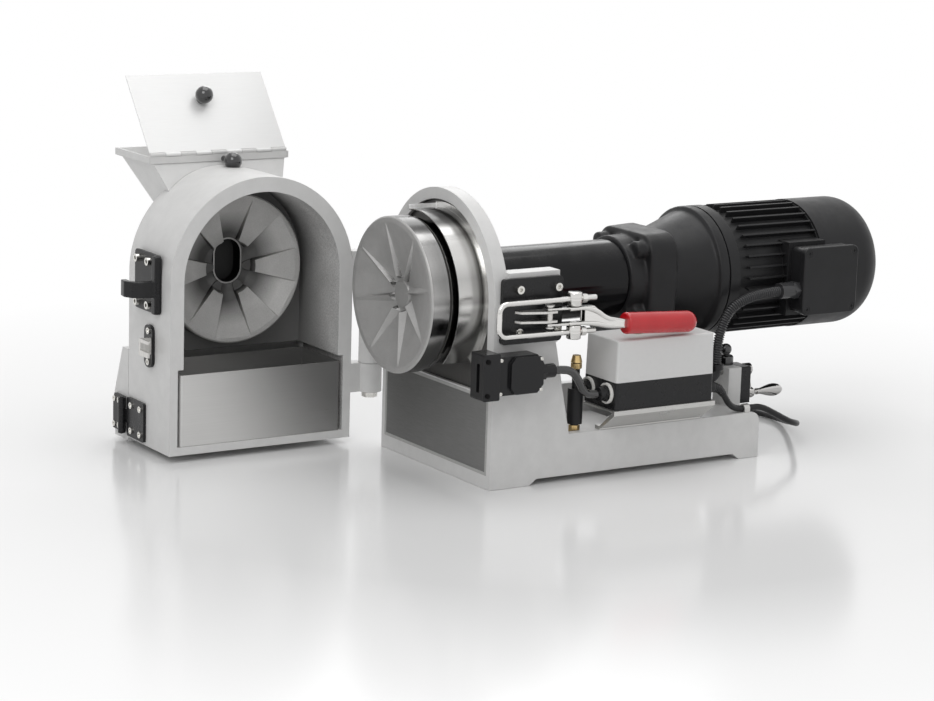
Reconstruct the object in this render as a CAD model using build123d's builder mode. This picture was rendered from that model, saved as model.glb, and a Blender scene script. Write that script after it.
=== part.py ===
"""Disc mill for laboratory use, standing on a bench with its grinding chamber swung open.

Millimetres, +Z up.  The origin lies on the bench, under the axis of the grinding discs, in the plane
where the closed chamber meets the main body.  +Y points along the drive towards the motor and +X
towards the clamp and the switches.  The chamber door is modelled 90 degrees open, at -X.
"""
from build123d import *
import math
import os

# ------------------------------------------------------------------ driving dimensions
AXIS_Z = 233.0            # disc axis above the bench
BODY_W = 267.0            # width of the body and of the door
BASE_L = 427.0            # length of the cast base
BASE_H = 62.0             # height of the base's top edge
FOOT_H = 7.8              # height of the recess between the feet
FRONT_FOOT_L = 60.6
REAR_FOOT_L = 31.4
FOOT_SLOPE = 10.6         # length of the slope from a foot up to the recess
CAST_WALL = 12.0
PLATE_T = 20.0            # thickness of the arched front plate
RIM_W = 15.0              # painted rim round the arch
RECESS_D = 6.0            # depth of the machined face behind the rim
WEB_TOP_Y = 79.0          # rear edge of the side web, at its top
WEB_FOOT_Y = 118.8        # rear edge of the side web, at the base
BOSS_TOP = 276.0          # top of the boss that carries the clamp
BOSS_LOW = 184.0
BOSS_REAR = 96.0
DECK_Y = 330.0            # front edge of the closed rear deck
PANEL_W = 243.0           # stainless panel under the disc
PANEL_LOW = 21.5
PANEL_TOP = 115.0
PANEL_T = 1.5
SEAL_W = 4.0

DISC_R = 100.2            # grinding discs
ROTOR_FACE = 70.5         # front face of the turning disc, ahead of the mating plane
ROTOR_T = 26.5
ROTOR_DISH = 18.0         # how far the hub lies behind the rim of the turning disc
ROTOR_HUB_R = 20.0
DISH_R = 92.0             # outer radius of the dished faces
RIDGE_H = 8.0
RIDGE_COUNT = 8
DRUM_R = 92.0
DRUM_BACK = 10.0
SHAFT_R = 17.5
SHROUD_R = 106.0
SHROUD_T = 1.5
SHROUD_W = 36.0
SHROUD_LIP = 7.0
SHROUD_FROM = -47.0       # degrees, from the horizontal on the clamp side
SHROUD_TO = 100.0

TUBE_R = 51.0             # black bearing tube
TUBE_WALL = 7.0
TUBE_END = 264.0
GUIDE_R = 62.0            # boss that guides the tube
GUIDE_L = 40.0
SLIDE_FIT = 0.08
RUN_FIT = 0.05
GAP_TRAVEL = 5.0          # travel of the drive that sets the grinding gap

FLANGE_R = 88.0
FLANGE_Y = 404.0
FLANGE_T = 16.0
MOTOR_R = 80.0            # motor shell without its fins
FIN_R = 87.0
FIN_COUNT = 36
FIN_T = 2.6
COWL_Y = 562.0
MOTOR_END = 674.5
COWL_R = 88.5
COWL_ROUND = 38.0
TERM_X = 120.0            # outer face of the terminal box
TERM_Y = 502.0
TERM_L = 93.0
TERM_H = 92.0
TERM_Z = 229.0

HINGE_X = -164.2          # vertical hinge of the chamber door
HINGE_Y = -2.1
HINGE_R = 16.0
HINGE_PIN_R = 7.0
CLOSED_GAP = 0.6          # between body and door when shut
ARM_LOW = 70.0
ARM_SPLIT = 109.0
ARM_HIGH = 215.0
ARM_TOP = 261.0
ARM_GAP = 0.5

DOOR_T = 122.0
DOOR_LOW = 9.2
DOOR_BACK_WALL = 12.0
OPENING_HALF = 114.0      # arched opening above the vessel
POCKET_WALL = 11.5        # door wall beside the wider pocket for the vessel
POCKET_LOW = 20.0
POCKET_TOP = 122.0
FIXED_INSET = 82.0        # face of the fixed disc, behind the door's mating plane
FIXED_T = 26.0
FIXED_DISH = 19.0         # depth of the fixed disc's dished face
FIXED_FLAT_R = 34.0
SCOOP_D = 4.0
FEED_W = 42.0
FEED_H = 62.0
FEED_UP = 8.0             # centre of the feed slot above the disc axis
CHUTE_T = 2.0

VESSEL_PLAY = 4.0         # on either side of the vessel
VESSEL_H = 94.0
VESSEL_L = 104.0
VESSEL_T = 1.5

RIM_Z = 380.0             # hopper rim
RIM_NEAR = -290.0
HOPPER_L = 104.5
HOPPER_W = 206.0
HOPPER_WALL = 4.0
LIP_H = 9.0
NECK_Z = 300.0
SPOUT_Z = 198.0
LID_L = 122.0
LID_W = 201.0
LID_T = 1.5
LID_OPEN = 51.7           # degrees raised from shut
LID_PIN_R = 1.5
KNOB_R = 12.0
LID_STUD_L = 13.0

BOX_X = 160.0             # switch box, outer face
BOX_W = 72.4
BOX_Y = 171.5
BOX_L = 155.0
BOX_LOW = 92.0
BOX_SPLIT = 128.0
BOX_TOP = 182.5

CLAMP_Z = 221.5           # mid height of the clamp
PIVOT_X = 152.0
PIVOT_Y = 70.0
LINK = 34.0               # lever pivot to the loop's pivot
LOOP_END = -8.0           # mid line of the loop's front bar
LOOP_H = 42.0
WIRE_R = 3.5
GRIP_R = 14.0
CORD_R = 4.25

body_half = BODY_W / 2
door_x = HINGE_X - CLOSED_GAP - HINGE_Y
door_y = HINGE_Y + HINGE_X
door_side = door_y - body_half
door_back = door_x - DOOR_T
pocket_half = body_half - POCKET_WALL
vessel_w = 2 * (pocket_half - VESSEL_PLAY)
box_back = BOX_Y + BOX_L
nodes = []


def keep(builder, label):
    """Name a finished piece and remember it for writing."""
    builder.part.label = label
    nodes.append(builder.part)


def front(y):
    """Sketch plane across the machine at depth y: local x is X, local y is Z, extrudes towards -Y."""
    return Plane.XZ.offset(-y)


def side(x):
    """Sketch plane along the machine at x: local x is Y, local y is Z, extrudes towards +X."""
    return Plane.YZ.offset(x)


def door_plane(depth):
    """Sketch plane of the open door: local x runs along +Y from its centre, extrudes towards +X."""
    return Plane(origin=(door_x - depth, door_y, 0), x_dir=(0, 1, 0), z_dir=(1, 0, 0))


def arch(half, low):
    """Outline with a round top of radius half about the disc axis and a flat bottom."""
    with BuildSketch() as outline:
        with BuildLine():
            Polyline((-half, AXIS_Z), (-half, low), (half, low), (half, AXIS_Z))
            ThreePointArc((half, AXIS_Z), (0, AXIS_Z + half), (-half, AXIS_Z))
        make_face()
    return outline.sketch


def tube(points, radii, radius):
    """Round cable along straight runs joined by tangent arcs."""
    with BuildPart() as cable:
        with BuildLine() as route:
            FilletPolyline(*points, radius=radii)
        with BuildSketch(Plane(origin=points[0], z_dir=route.line % 0)):
            Circle(radius)
        sweep()
    return cable, route.wires()[0]


def route_radii(points):
    """Arc radius at each corner: 0.45 of the shorter run over the tangent of half the turn."""
    vectors = [Vector(b) - Vector(a) for a, b in zip(points, points[1:])]
    radii = []
    for a, b in zip(vectors, vectors[1:]):
        half_turn = math.radians(a.get_angle(b)) / 2
        radii.append(0.45 * min(a.length, b.length) / math.tan(half_turn))
    return radii


def socket_screws(places, plane, head_r, head_h, shank_r, shank_l):
    """Group of socket head screws; heads stand out along the plane's normal."""
    with BuildPart() as screws:
        with BuildSketch(plane):
            with Locations(*places):
                Circle(head_r)
        extrude(amount=head_h)
        with BuildSketch(plane):
            with Locations(*places):
                Circle(shank_r)
        extrude(amount=-shank_l)
        with BuildSketch(plane.offset(head_h)):
            with Locations(*places):
                RegularPolygon(head_r * 0.52, 6)
        extrude(amount=-head_h * 0.6, mode=Mode.SUBTRACT)
    return screws


def ball_knob(centre, direction, radius, stud_r, stud_l):
    """Ball on a stud; the stud runs from the ball against the given direction."""
    out = Vector(direction).normalized()
    with BuildPart() as knob:
        with Locations(centre):
            Sphere(radius)
        with BuildSketch(Plane(origin=Vector(centre) - out * stud_l, z_dir=out)):
            Circle(stud_r)
        extrude(amount=stud_l)
        with BuildSketch(Plane(origin=Vector(centre) - out * radius * 1.02, z_dir=out)):
            Circle(stud_r * 1.7)
        extrude(amount=radius * 0.5)
    return knob


# ------------------------------------------------------------------ stand: cast body and base
SCREW_R = 3.0
SCREW_HEAD_R = 5.2
SCREW_HEAD_H = 6.5
SCREW_IN = 9.0
SCREW_FIT = 0.05
CLAMP_PLATE_T = 6.0
CLAMP_PLATE_Y = (7.6, 97.4)
CLAMP_PLATE_Z = (187.0, 270.0)
clamp_holes = [(y, z) for y in (30.2, 87.5) for z in (202.5, 256.6)]

outer = arch(body_half, 0)
recess = arch(body_half - RIM_W, PANEL_TOP + 6)
with BuildPart() as base_frame:
    with BuildSketch(front(0)):
        add(outer)
    extrude(amount=-PLATE_T)
    with BuildSketch(side(-body_half)):
        with BuildLine():
            Polyline((PLATE_T, 0), (FRONT_FOOT_L, 0), (FRONT_FOOT_L + FOOT_SLOPE, FOOT_H),
                     (BASE_L - REAR_FOOT_L - FOOT_SLOPE, FOOT_H), (BASE_L - REAR_FOOT_L, 0),
                     (BASE_L, 0), (BASE_L, BASE_H), (PLATE_T, BASE_H), close=True)
        make_face()
    extrude(amount=BODY_W)
    fillet(base_frame.edges().filter_by(Axis.X).filter_by_position(Axis.Y, BASE_L - 1, BASE_L + 1)
           .sort_by(Axis.Z)[-1], 13)
    with BuildSketch(side(-body_half)):
        with BuildLine():
            Polyline((PLATE_T, BASE_H), (WEB_FOOT_Y, BASE_H), (WEB_TOP_Y, AXIS_Z + 20), (PLATE_T, AXIS_Z + 20),
                     close=True)
        make_face()
    extrude(amount=CAST_WALL)
    mirror(about=Plane.YZ)
    with BuildSketch(side(body_half - 2 * CAST_WALL)):
        with Locations(((PLATE_T + BOSS_REAR) / 2, (BOSS_LOW + BOSS_TOP) / 2)):
            Rectangle(BOSS_REAR - PLATE_T, BOSS_TOP - BOSS_LOW)
    extrude(amount=2 * CAST_WALL)
    with BuildSketch(front(PLATE_T)):
        with Locations((0, AXIS_Z)):
            Circle(GUIDE_R)
    extrude(amount=-GUIDE_L)
    with BuildSketch(front(0)):
        add(recess)
    extrude(amount=-RECESS_D, mode=Mode.SUBTRACT)
    with BuildSketch(front(0)):
        with Locations((0, (PANEL_LOW + PANEL_TOP) / 2)):
            Rectangle(PANEL_W + 2 * SEAL_W, PANEL_TOP - PANEL_LOW + 2 * SEAL_W)
    extrude(amount=-3.0, mode=Mode.SUBTRACT)
    with BuildSketch(front(PLATE_T + 0.01)):
        with Locations((0, AXIS_Z)):
            Circle(TUBE_R + SLIDE_FIT)
    extrude(amount=-GUIDE_L - 1, mode=Mode.SUBTRACT)
    with BuildSketch(front(0)):
        with Locations((0, AXIS_Z)):
            Circle(TUBE_R - TUBE_WALL)
    extrude(amount=-PLATE_T - 1, mode=Mode.SUBTRACT)
    # open tray behind the web, closed deck at the rear, hollow underneath
    with BuildSketch(Plane.XY.offset(FOOT_H + CAST_WALL)):
        with Locations((0, (WEB_FOOT_Y + DECK_Y) / 2)):
            Rectangle(BODY_W - 2 * CAST_WALL, DECK_Y - WEB_FOOT_Y)
        with Locations((0, (PLATE_T + WEB_FOOT_Y) / 2 + CAST_WALL / 2)):
            Rectangle(BODY_W - 2 * CAST_WALL, WEB_FOOT_Y - PLATE_T - CAST_WALL)
    extrude(amount=BASE_H, mode=Mode.SUBTRACT)
    with BuildSketch(Plane.XY.offset(FOOT_H)):
        with Locations((0, (DECK_Y + BASE_L) / 2 - CAST_WALL / 2)):
            Rectangle(BODY_W - 2 * CAST_WALL, BASE_L - DECK_Y - CAST_WALL)
    extrude(amount=BASE_H - FOOT_H - CAST_WALL * 0.8, mode=Mode.SUBTRACT)
    with BuildSketch(Plane.XY):
        with Locations((0, BASE_L / 2 + PLATE_T)):
            Rectangle(BODY_W - 4 * CAST_WALL, BASE_L - 2 * FRONT_FOOT_L)
    extrude(amount=FOOT_H, mode=Mode.SUBTRACT)
    # knuckle of the door hinge
    with BuildSketch(Plane.XY.offset(ARM_SPLIT + ARM_GAP)):
        with Locations((HINGE_X, HINGE_Y)):
            Circle(HINGE_R)
        with Locations(((HINGE_X - body_half) / 2, HINGE_R * 0.43)):
            Rectangle(-HINGE_X - body_half + 1, HINGE_R * 0.86)
    extrude(amount=ARM_HIGH - ARM_SPLIT - 2 * ARM_GAP)
    with BuildSketch(Plane.XY.offset(ARM_SPLIT)):
        with Locations((HINGE_X, HINGE_Y)):
            Circle(HINGE_PIN_R)
    extrude(amount=ARM_HIGH - ARM_SPLIT, mode=Mode.SUBTRACT)
    with BuildSketch(side(body_half)):
        with Locations(*clamp_holes):
            Circle(SCREW_R + SCREW_FIT)
    extrude(amount=-SCREW_IN, mode=Mode.SUBTRACT)
keep(base_frame, "base_frame")

with BuildPart() as front_panel:
    with BuildSketch(front(PANEL_T)):
        with Locations((0, (PANEL_LOW + PANEL_TOP) / 2)):
            Rectangle(PANEL_W, PANEL_TOP - PANEL_LOW)
    extrude(amount=PANEL_T)
keep(front_panel, "front_panel")

with BuildPart() as panel_seal:
    with BuildSketch(front(3.0)):
        with Locations((0, (PANEL_LOW + PANEL_TOP) / 2)):
            Rectangle(PANEL_W + 2 * SEAL_W, PANEL_TOP - PANEL_LOW + 2 * SEAL_W)
            Rectangle(PANEL_W, PANEL_TOP - PANEL_LOW, mode=Mode.SUBTRACT)
    extrude(amount=3.2)
    with BuildSketch(front(3.0)):
        with Locations((0, (PANEL_LOW + PANEL_TOP) / 2)):
            Rectangle(PANEL_W, PANEL_TOP - PANEL_LOW)
    extrude(amount=3.0 - PANEL_T)
keep(panel_seal, "panel_seal")

with BuildPart() as shroud:
    with BuildSketch(front(RECESS_D)):
        with BuildLine():
            CenterArc((0, AXIS_Z), SHROUD_R + SHROUD_T, SHROUD_FROM, SHROUD_TO - SHROUD_FROM)
            CenterArc((0, AXIS_Z), SHROUD_R, SHROUD_FROM, SHROUD_TO - SHROUD_FROM)
            for angle in (SHROUD_FROM, SHROUD_TO):
                PolarLine((SHROUD_R * math.cos(math.radians(angle)),
                           AXIS_Z + SHROUD_R * math.sin(math.radians(angle))), SHROUD_T, angle)
        make_face()
    extrude(amount=SHROUD_W + RECESS_D)
    with BuildSketch(front(RECESS_D)):
        with BuildLine():
            CenterArc((0, AXIS_Z), SHROUD_R + 9, SHROUD_FROM, SHROUD_TO - SHROUD_FROM)
            CenterArc((0, AXIS_Z), SHROUD_R, SHROUD_FROM, SHROUD_TO - SHROUD_FROM)
            for angle in (SHROUD_FROM, SHROUD_TO):
                PolarLine((SHROUD_R * math.cos(math.radians(angle)),
                           AXIS_Z + SHROUD_R * math.sin(math.radians(angle))), 9, angle)
        make_face()
    extrude(amount=SHROUD_T)
    # thin lip that stands out along the top cut
    lip_r = SHROUD_R + SHROUD_LIP / 2
    with BuildSketch(front(RECESS_D)):
        with Locations((lip_r * math.cos(math.radians(SHROUD_TO)),
                        AXIS_Z + lip_r * math.sin(math.radians(SHROUD_TO)))):
            Rectangle(SHROUD_LIP, SHROUD_T, rotation=SHROUD_TO)
    extrude(amount=SHROUD_W + RECESS_D)
keep(shroud, "shroud")

with BuildPart() as hinge_pin:
    with BuildSketch(Plane.XY.offset(ARM_LOW)):
        with Locations((HINGE_X, HINGE_Y)):
            Circle(HINGE_PIN_R)
    extrude(amount=ARM_TOP - ARM_LOW + 1.5)
    with BuildSketch(Plane.XY.offset(ARM_LOW - 8.0)):
        with Locations((HINGE_X, HINGE_Y)):
            RegularPolygon(10.5, 6)
    extrude(amount=7.6)
    with BuildSketch(Plane.XY.offset(ARM_LOW - 0.4)):
        with Locations((HINGE_X, HINGE_Y)):
            Circle(HINGE_PIN_R)
    extrude(amount=1.0)
keep(hinge_pin, "hinge_pin")

# ------------------------------------------------------------------ clamp
EAR_T = 3.0
EAR_AT = 6.0              # ears above and below the clamp's mid height
PIN_R = 4.0
PIN_HALF = 13.0           # half the length of the lever's pin, inside its collars
LEVER_T = 3.0
with BuildPart() as clamp_bracket:
    with BuildSketch(side(body_half)):
        with Locations((sum(CLAMP_PLATE_Y) / 2, sum(CLAMP_PLATE_Z) / 2)):
            RectangleRounded(CLAMP_PLATE_Y[1] - CLAMP_PLATE_Y[0], CLAMP_PLATE_Z[1] - CLAMP_PLATE_Z[0], 5)
    extrude(amount=CLAMP_PLATE_T)
    with BuildSketch(side(body_half)):
        with Locations(*clamp_holes):
            Circle(SCREW_R + SCREW_FIT)
    extrude(amount=CLAMP_PLATE_T, mode=Mode.SUBTRACT)
    for level in (CLAMP_Z - EAR_AT, CLAMP_Z + EAR_AT):
        with BuildSketch(Plane.XY.offset(level - EAR_T / 2)):
            with BuildLine():
                Polyline((body_half + CLAMP_PLATE_T, 26), (PIVOT_X - 4, 30), (PIVOT_X + 6, 62),
                         (PIVOT_X + 6, 78), (body_half + CLAMP_PLATE_T, 82), close=True)
            make_face()
        extrude(amount=EAR_T)
    with BuildSketch(Plane.XY.offset(CLAMP_Z - PIN_HALF)):
        with Locations((PIVOT_X, PIVOT_Y)):
            Circle(PIN_R)
    extrude(amount=2 * PIN_HALF)
    for level in (CLAMP_Z - PIN_HALF - 2, CLAMP_Z + PIN_HALF):
        with BuildSketch(Plane.XY.offset(level)):
            with Locations((PIVOT_X, PIVOT_Y)):
                Circle(PIN_R + 2.2)
        extrude(amount=2.0)
keep(clamp_bracket, "clamp_bracket")

link_x = PIVOT_X + 5.0
link_y = PIVOT_Y + math.sqrt(LINK ** 2 - 25.0)
CHEEK_AT = 10.0
grip_from = Vector(158.0, 181.0, 205.5)
grip_to = Vector(158.0, 292.0, 199.5)
with BuildPart() as clamp_lever:
    for level in (CLAMP_Z - CHEEK_AT, CLAMP_Z + CHEEK_AT):
        with BuildSketch(Plane.XY.offset(level - LEVER_T / 2)):
            with BuildLine():
                Polyline((PIVOT_X - 7, PIVOT_Y - 7), (PIVOT_X + 7, PIVOT_Y - 7), (link_x + 7, link_y - 4),
                         (link_x + 7, link_y + 26), (link_x - 5, link_y + 26), (link_x - 7, link_y + 4),
                         close=True)
            make_face()
            with Locations((PIVOT_X, PIVOT_Y)):
                Circle(PIN_R + RUN_FIT, mode=Mode.SUBTRACT)
            with Locations((link_x, link_y)):
                Circle(PIN_R + RUN_FIT, mode=Mode.SUBTRACT)
        extrude(amount=LEVER_T)
    with BuildSketch(side(link_x - 5)):
        with BuildLine():
            Polyline((link_y + 12, CLAMP_Z - CHEEK_AT - LEVER_T / 2), (link_y + 30, CLAMP_Z - CHEEK_AT - 4),
                     (grip_from.Y + 14, grip_from.Z - 7.5), (grip_from.Y + 14, grip_from.Z + 2.5),
                     (link_y + 44, CLAMP_Z - 3), (link_y + 26, CLAMP_Z + CHEEK_AT + LEVER_T / 2),
                     (link_y + 12, CLAMP_Z + CHEEK_AT + LEVER_T / 2), close=True)
        make_face()
    extrude(amount=12)
    with BuildSketch(side(link_x - 2)):
        with BuildLine():
            Polyline((link_y + 8, CLAMP_Z - CHEEK_AT - 6), (link_y + 31, CLAMP_Z - CHEEK_AT - 1),
                     (grip_from.Y + 20, grip_from.Z - 4.5), (grip_from.Y + 20, grip_from.Z - 0.5),
                     (link_y + 43, CLAMP_Z - 6), (link_y + 25, CLAMP_Z + CHEEK_AT - LEVER_T / 2),
                     (link_y + 8, CLAMP_Z + CHEEK_AT - LEVER_T / 2), close=True)
        make_face()
    extrude(amount=6, mode=Mode.SUBTRACT)
keep(clamp_lever, "clamp_lever")

with BuildPart() as clamp_grip:
    with BuildSketch(Plane(origin=grip_from, z_dir=grip_to - grip_from)):
        Circle(GRIP_R)
    extrude(amount=(grip_to - grip_from).length)
    fillet(clamp_grip.edges().filter_by(GeomType.CIRCLE).sort_by(Axis.Y)[-1], GRIP_R - 1)
    fillet(clamp_grip.edges().filter_by(GeomType.CIRCLE).sort_by(Axis.Y)[0], 3)
    add(clamp_lever.part, mode=Mode.SUBTRACT)
keep(clamp_grip, "clamp_grip")

NUT_R = 6.2
with BuildPart() as clamp_loop:
    with BuildLine() as loop_path:
        FilletPolyline((link_x, link_y + 32, CLAMP_Z + LOOP_H / 2), (link_x, LOOP_END, CLAMP_Z + LOOP_H / 2),
                       (link_x, LOOP_END, CLAMP_Z - LOOP_H / 2), (link_x, link_y + 32, CLAMP_Z - LOOP_H / 2),
                       radius=11)
    with BuildSketch(Plane(origin=loop_path.line @ 0, z_dir=loop_path.line % 0)):
        Circle(WIRE_R)
    sweep()
    for level in (CLAMP_Z + LOOP_H / 2, CLAMP_Z - LOOP_H / 2):
        with Locations((link_x, link_y, level)):
            Box(12, 14, 17)
        with BuildSketch(front(link_y + 10)):
            with Locations((link_x, level)):
                RegularPolygon(NUT_R, 6)
        extrude(amount=-7)
    for low, high in ((CLAMP_Z + CHEEK_AT - 1, CLAMP_Z + LOOP_H / 2), (CLAMP_Z - LOOP_H / 2, CLAMP_Z - CHEEK_AT + 1)):
        with BuildSketch(Plane.XY.offset(low)):
            with Locations((link_x, link_y)):
                Circle(PIN_R)
        extrude(amount=high - low)
keep(clamp_loop, "clamp_loop")


# ------------------------------------------------------------------ safety switch and its cable
SWITCH_X = 136.0
SWITCH_T = 30.0
SWITCH_LOW = 124.0
SWITCH_TOP = 183.0
HEAD_FRONT = -34.0
HEAD_L = 24.0
SWITCH_END = 57.0
SLOT_X = (149.0, 156.0)
SLOT_Z = (134.0, 170.0)
SLOT_D = 12.0
switch_mid = SWITCH_X + SWITCH_T / 2
with BuildPart() as safety_switch:
    with BuildSketch(side(SWITCH_X)):
        with Locations((HEAD_FRONT + HEAD_L / 2, (SWITCH_LOW + SWITCH_TOP) / 2)):
            RectangleRounded(HEAD_L, SWITCH_TOP - SWITCH_LOW, 2)
    extrude(amount=SWITCH_T)
    with BuildSketch(side(SWITCH_X)):
        with BuildLine():
            Polyline((HEAD_FRONT + HEAD_L, SWITCH_LOW + 4), (SWITCH_END - 9, SWITCH_LOW + 4),
                     (SWITCH_END, SWITCH_LOW + 14), (SWITCH_END, SWITCH_TOP - 16), (SWITCH_END - 9, SWITCH_TOP - 6),
                     (HEAD_FRONT + HEAD_L, SWITCH_TOP - 6), close=True)
        make_face()
    extrude(amount=SWITCH_T - 5)
    with BuildSketch(side(SWITCH_X)):
        with BuildLine():
            Polyline((14, SWITCH_LOW + 5), (SWITCH_END - 11, SWITCH_LOW + 5), (SWITCH_END - 2, SWITCH_LOW + 15),
                     (SWITCH_END - 2, SWITCH_TOP - 17), (SWITCH_END - 11, SWITCH_TOP - 7), (14, SWITCH_TOP - 7),
                     (7, SWITCH_TOP - 15), (7, SWITCH_LOW + 13), close=True)
        make_face()
    extrude(amount=SWITCH_T)
    with BuildSketch(side(SWITCH_X)):
        with Locations((20, (SWITCH_LOW + SWITCH_TOP) / 2)):
            Rectangle(60, 30)
    extrude(amount=body_half - SWITCH_X)
    with BuildSketch(front(HEAD_FRONT)):
        with Locations((sum(SLOT_X) / 2, sum(SLOT_Z) / 2)):
            Rectangle(SLOT_X[1] - SLOT_X[0], SLOT_Z[1] - SLOT_Z[0])
    extrude(amount=-SLOT_D, mode=Mode.SUBTRACT)
    # cable gland
    with BuildSketch(front(SWITCH_END)):
        with Locations((switch_mid, 152)):
            RegularPolygon(11, 6)
    extrude(amount=-8)
    with BuildSketch(front(SWITCH_END + 8)):
        with Locations((switch_mid, 152)):
            Circle(9)
    extrude(amount=-14)
    with BuildSketch(front(SWITCH_END + 8)):
        with Locations((switch_mid, 152)):
            Circle(5.5)
    extrude(amount=-14, mode=Mode.SUBTRACT)
keep(safety_switch, "safety_switch")

clamp_screws = socket_screws(clamp_holes, side(body_half + CLAMP_PLATE_T), SCREW_HEAD_R, SCREW_HEAD_H,
                             SCREW_R, SCREW_IN + CLAMP_PLATE_T - 1)
with BuildPart() as stand_screws:
    add(clamp_screws.part)
    with BuildSketch(side(SWITCH_X + SWITCH_T + 0.1)):
        with Locations((HEAD_FRONT + 6, SWITCH_TOP - 9), (HEAD_FRONT + 6, SWITCH_LOW + 7)):
            Circle(3.0)
    extrude(amount=1.4)
keep(stand_screws, "stand_screws")
GLAND_Z = 112.0
GLANDS_X = (141.0, 100.0)
GLAND_L = 15.0
SWITCH_CABLE_R = 5.3
gland_out = BOX_Y - GLAND_L
switch_cable_points = [(switch_mid, SWITCH_END + 10, 152), (switch_mid, 88, 152), (150, 108, 149),
                       (147, 122, 134), (143, 132, 118), (GLANDS_X[0], 146, GLAND_Z),
                       (GLANDS_X[0], BOX_Y - 6, GLAND_Z)]
switch_cable_radii = route_radii(switch_cable_points)
switch_cable, switch_cable_line = tube(switch_cable_points, switch_cable_radii, SWITCH_CABLE_R)
keep(switch_cable, "switch_cable")

# ------------------------------------------------------------------ switch box on its bracket
BOX_WALL = 3.0
CORNER = 4.0
BUTTON_R = 11.0
BUTTON_H = 4.0
BUTTON_TRAVEL = 3.0
BUTTON_X = 118.0
BUTTONS_Y = (228.0, 262.0)
box_mid_x = BOX_X - BOX_W / 2
box_mid_y = BOX_Y + BOX_L / 2
CONDUIT_X = 105.0
CONDUIT_END_Y = 371.0
MAINS_X = 134.0
MAINS_Z = 104.0
with BuildPart() as switch_box_base:
    with BuildSketch(Plane.XY.offset(BOX_LOW)):
        with Locations((box_mid_x, box_mid_y)):
            RectangleRounded(BOX_W, BOX_L, CORNER)
    extrude(amount=BOX_SPLIT - BOX_LOW)
    with BuildSketch(Plane.XY.offset(BOX_LOW + BOX_WALL)):
        with Locations((box_mid_x, box_mid_y)):
            RectangleRounded(BOX_W - 2 * BOX_WALL, BOX_L - 2 * BOX_WALL, CORNER - 2)
    extrude(amount=BOX_SPLIT - BOX_LOW, mode=Mode.SUBTRACT)
    # glands at the front end, with their bores
    with BuildSketch(front(BOX_Y + 1)):
        with Locations(*[(x, GLAND_Z) for x in GLANDS_X]):
            RegularPolygon(10.5, 6)
    extrude(amount=9)
    with BuildSketch(front(BOX_Y - 8)):
        with Locations(*[(x, GLAND_Z) for x in GLANDS_X]):
            Circle(9)
    extrude(amount=GLAND_L - 8)
    with BuildSketch(front(BOX_Y + BOX_WALL + 1)):
        with Locations((GLANDS_X[0], GLAND_Z)):
            Circle(SWITCH_CABLE_R + 0.2)
    extrude(amount=GLAND_L + BOX_WALL + 2, mode=Mode.SUBTRACT)
    # gland of the mains lead at the rear end
    with BuildSketch(front(box_back)):
        with Locations((MAINS_X, MAINS_Z)):
            Circle(9)
    extrude(amount=-14)
    with BuildSketch(front(box_back - BOX_WALL - 1)):
        with Locations((MAINS_X, MAINS_Z)):
            Circle(CORD_R + 0.15)
    extrude(amount=-30, mode=Mode.SUBTRACT)
keep(switch_box_base, "switch_box_base")

with BuildPart() as gland_rings:
    for x, back in ((GLANDS_X[0], BOX_Y - 0.2), (GLANDS_X[1], BOX_Y - 0.2)):
        with BuildSketch(front(back)):
            with Locations((x, GLAND_Z)):
                Circle(13.5)
                Circle(10.7, mode=Mode.SUBTRACT)
        extrude(amount=3.5)
keep(gland_rings, "gland_rings")

with BuildPart() as switch_box_cover:
    with BuildSketch(Plane.XY.offset(BOX_SPLIT)):
        with Locations((box_mid_x, box_mid_y)):
            RectangleRounded(BOX_W, BOX_L, CORNER)
    extrude(amount=BOX_TOP - BOX_SPLIT, taper=1.5)
    fillet(switch_box_cover.faces().sort_by(Axis.Z)[-1].edges(), 2.5)
    with BuildSketch(Plane.XY.offset(BOX_SPLIT)):
        with Locations((box_mid_x, box_mid_y)):
            RectangleRounded(BOX_W - 2 * BOX_WALL, BOX_L - 2 * BOX_WALL, CORNER - 2)
    extrude(amount=BOX_TOP - BOX_SPLIT - BOX_WALL, taper=1.5, mode=Mode.SUBTRACT)
    with BuildSketch(Plane.XY.offset(BOX_TOP + 1)):
        with Locations(*[(BUTTON_X, y) for y in BUTTONS_Y]):
            Circle(BUTTON_R + 0.4)
    extrude(amount=-BOX_WALL - 2, mode=Mode.SUBTRACT)
keep(switch_box_cover, "switch_box_cover")

for label, y in zip(("start_button", "stop_button"), BUTTONS_Y):
    with BuildPart() as button:
        with BuildSketch(Plane.XY.offset(BOX_TOP - BOX_WALL - 1)):
            with Locations((BUTTON_X, y)):
                Circle(BUTTON_R)
        extrude(amount=BOX_WALL + 1 + BUTTON_H)
        fillet(button.edges().filter_by(GeomType.CIRCLE).sort_by(Axis.Z)[-1], 1.2)
        with BuildSketch(Plane.XY.offset(BOX_TOP - BOX_WALL - 3)):
            with Locations((BUTTON_X, y)):
                Circle(BUTTON_R + 2)
        extrude(amount=2.0)
    keep(button, label)

SHEET = 2.5
with BuildPart() as box_bracket:
    with BuildSketch(front(BOX_Y - 4)):
        with BuildLine():
            Polyline((body_half - CAST_WALL, BASE_H), (body_half - 1, BASE_H), (body_half - 1, BASE_H + SHEET),
                     (body_half + 1, BASE_H + SHEET), (BOX_X + 3, BOX_LOW - 6), (BOX_X + 3, BOX_LOW),
                     (box_mid_x - 30, BOX_LOW), (box_mid_x - 30, BOX_LOW - SHEET),
                     (BOX_X - 2, BOX_LOW - SHEET), (body_half - 2, BASE_H + 2 * SHEET),
                     (body_half - CAST_WALL, BASE_H + 2 * SHEET), close=True)
        make_face()
    extrude(amount=-BOX_L - 6)
keep(box_bracket, "box_bracket")

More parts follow.
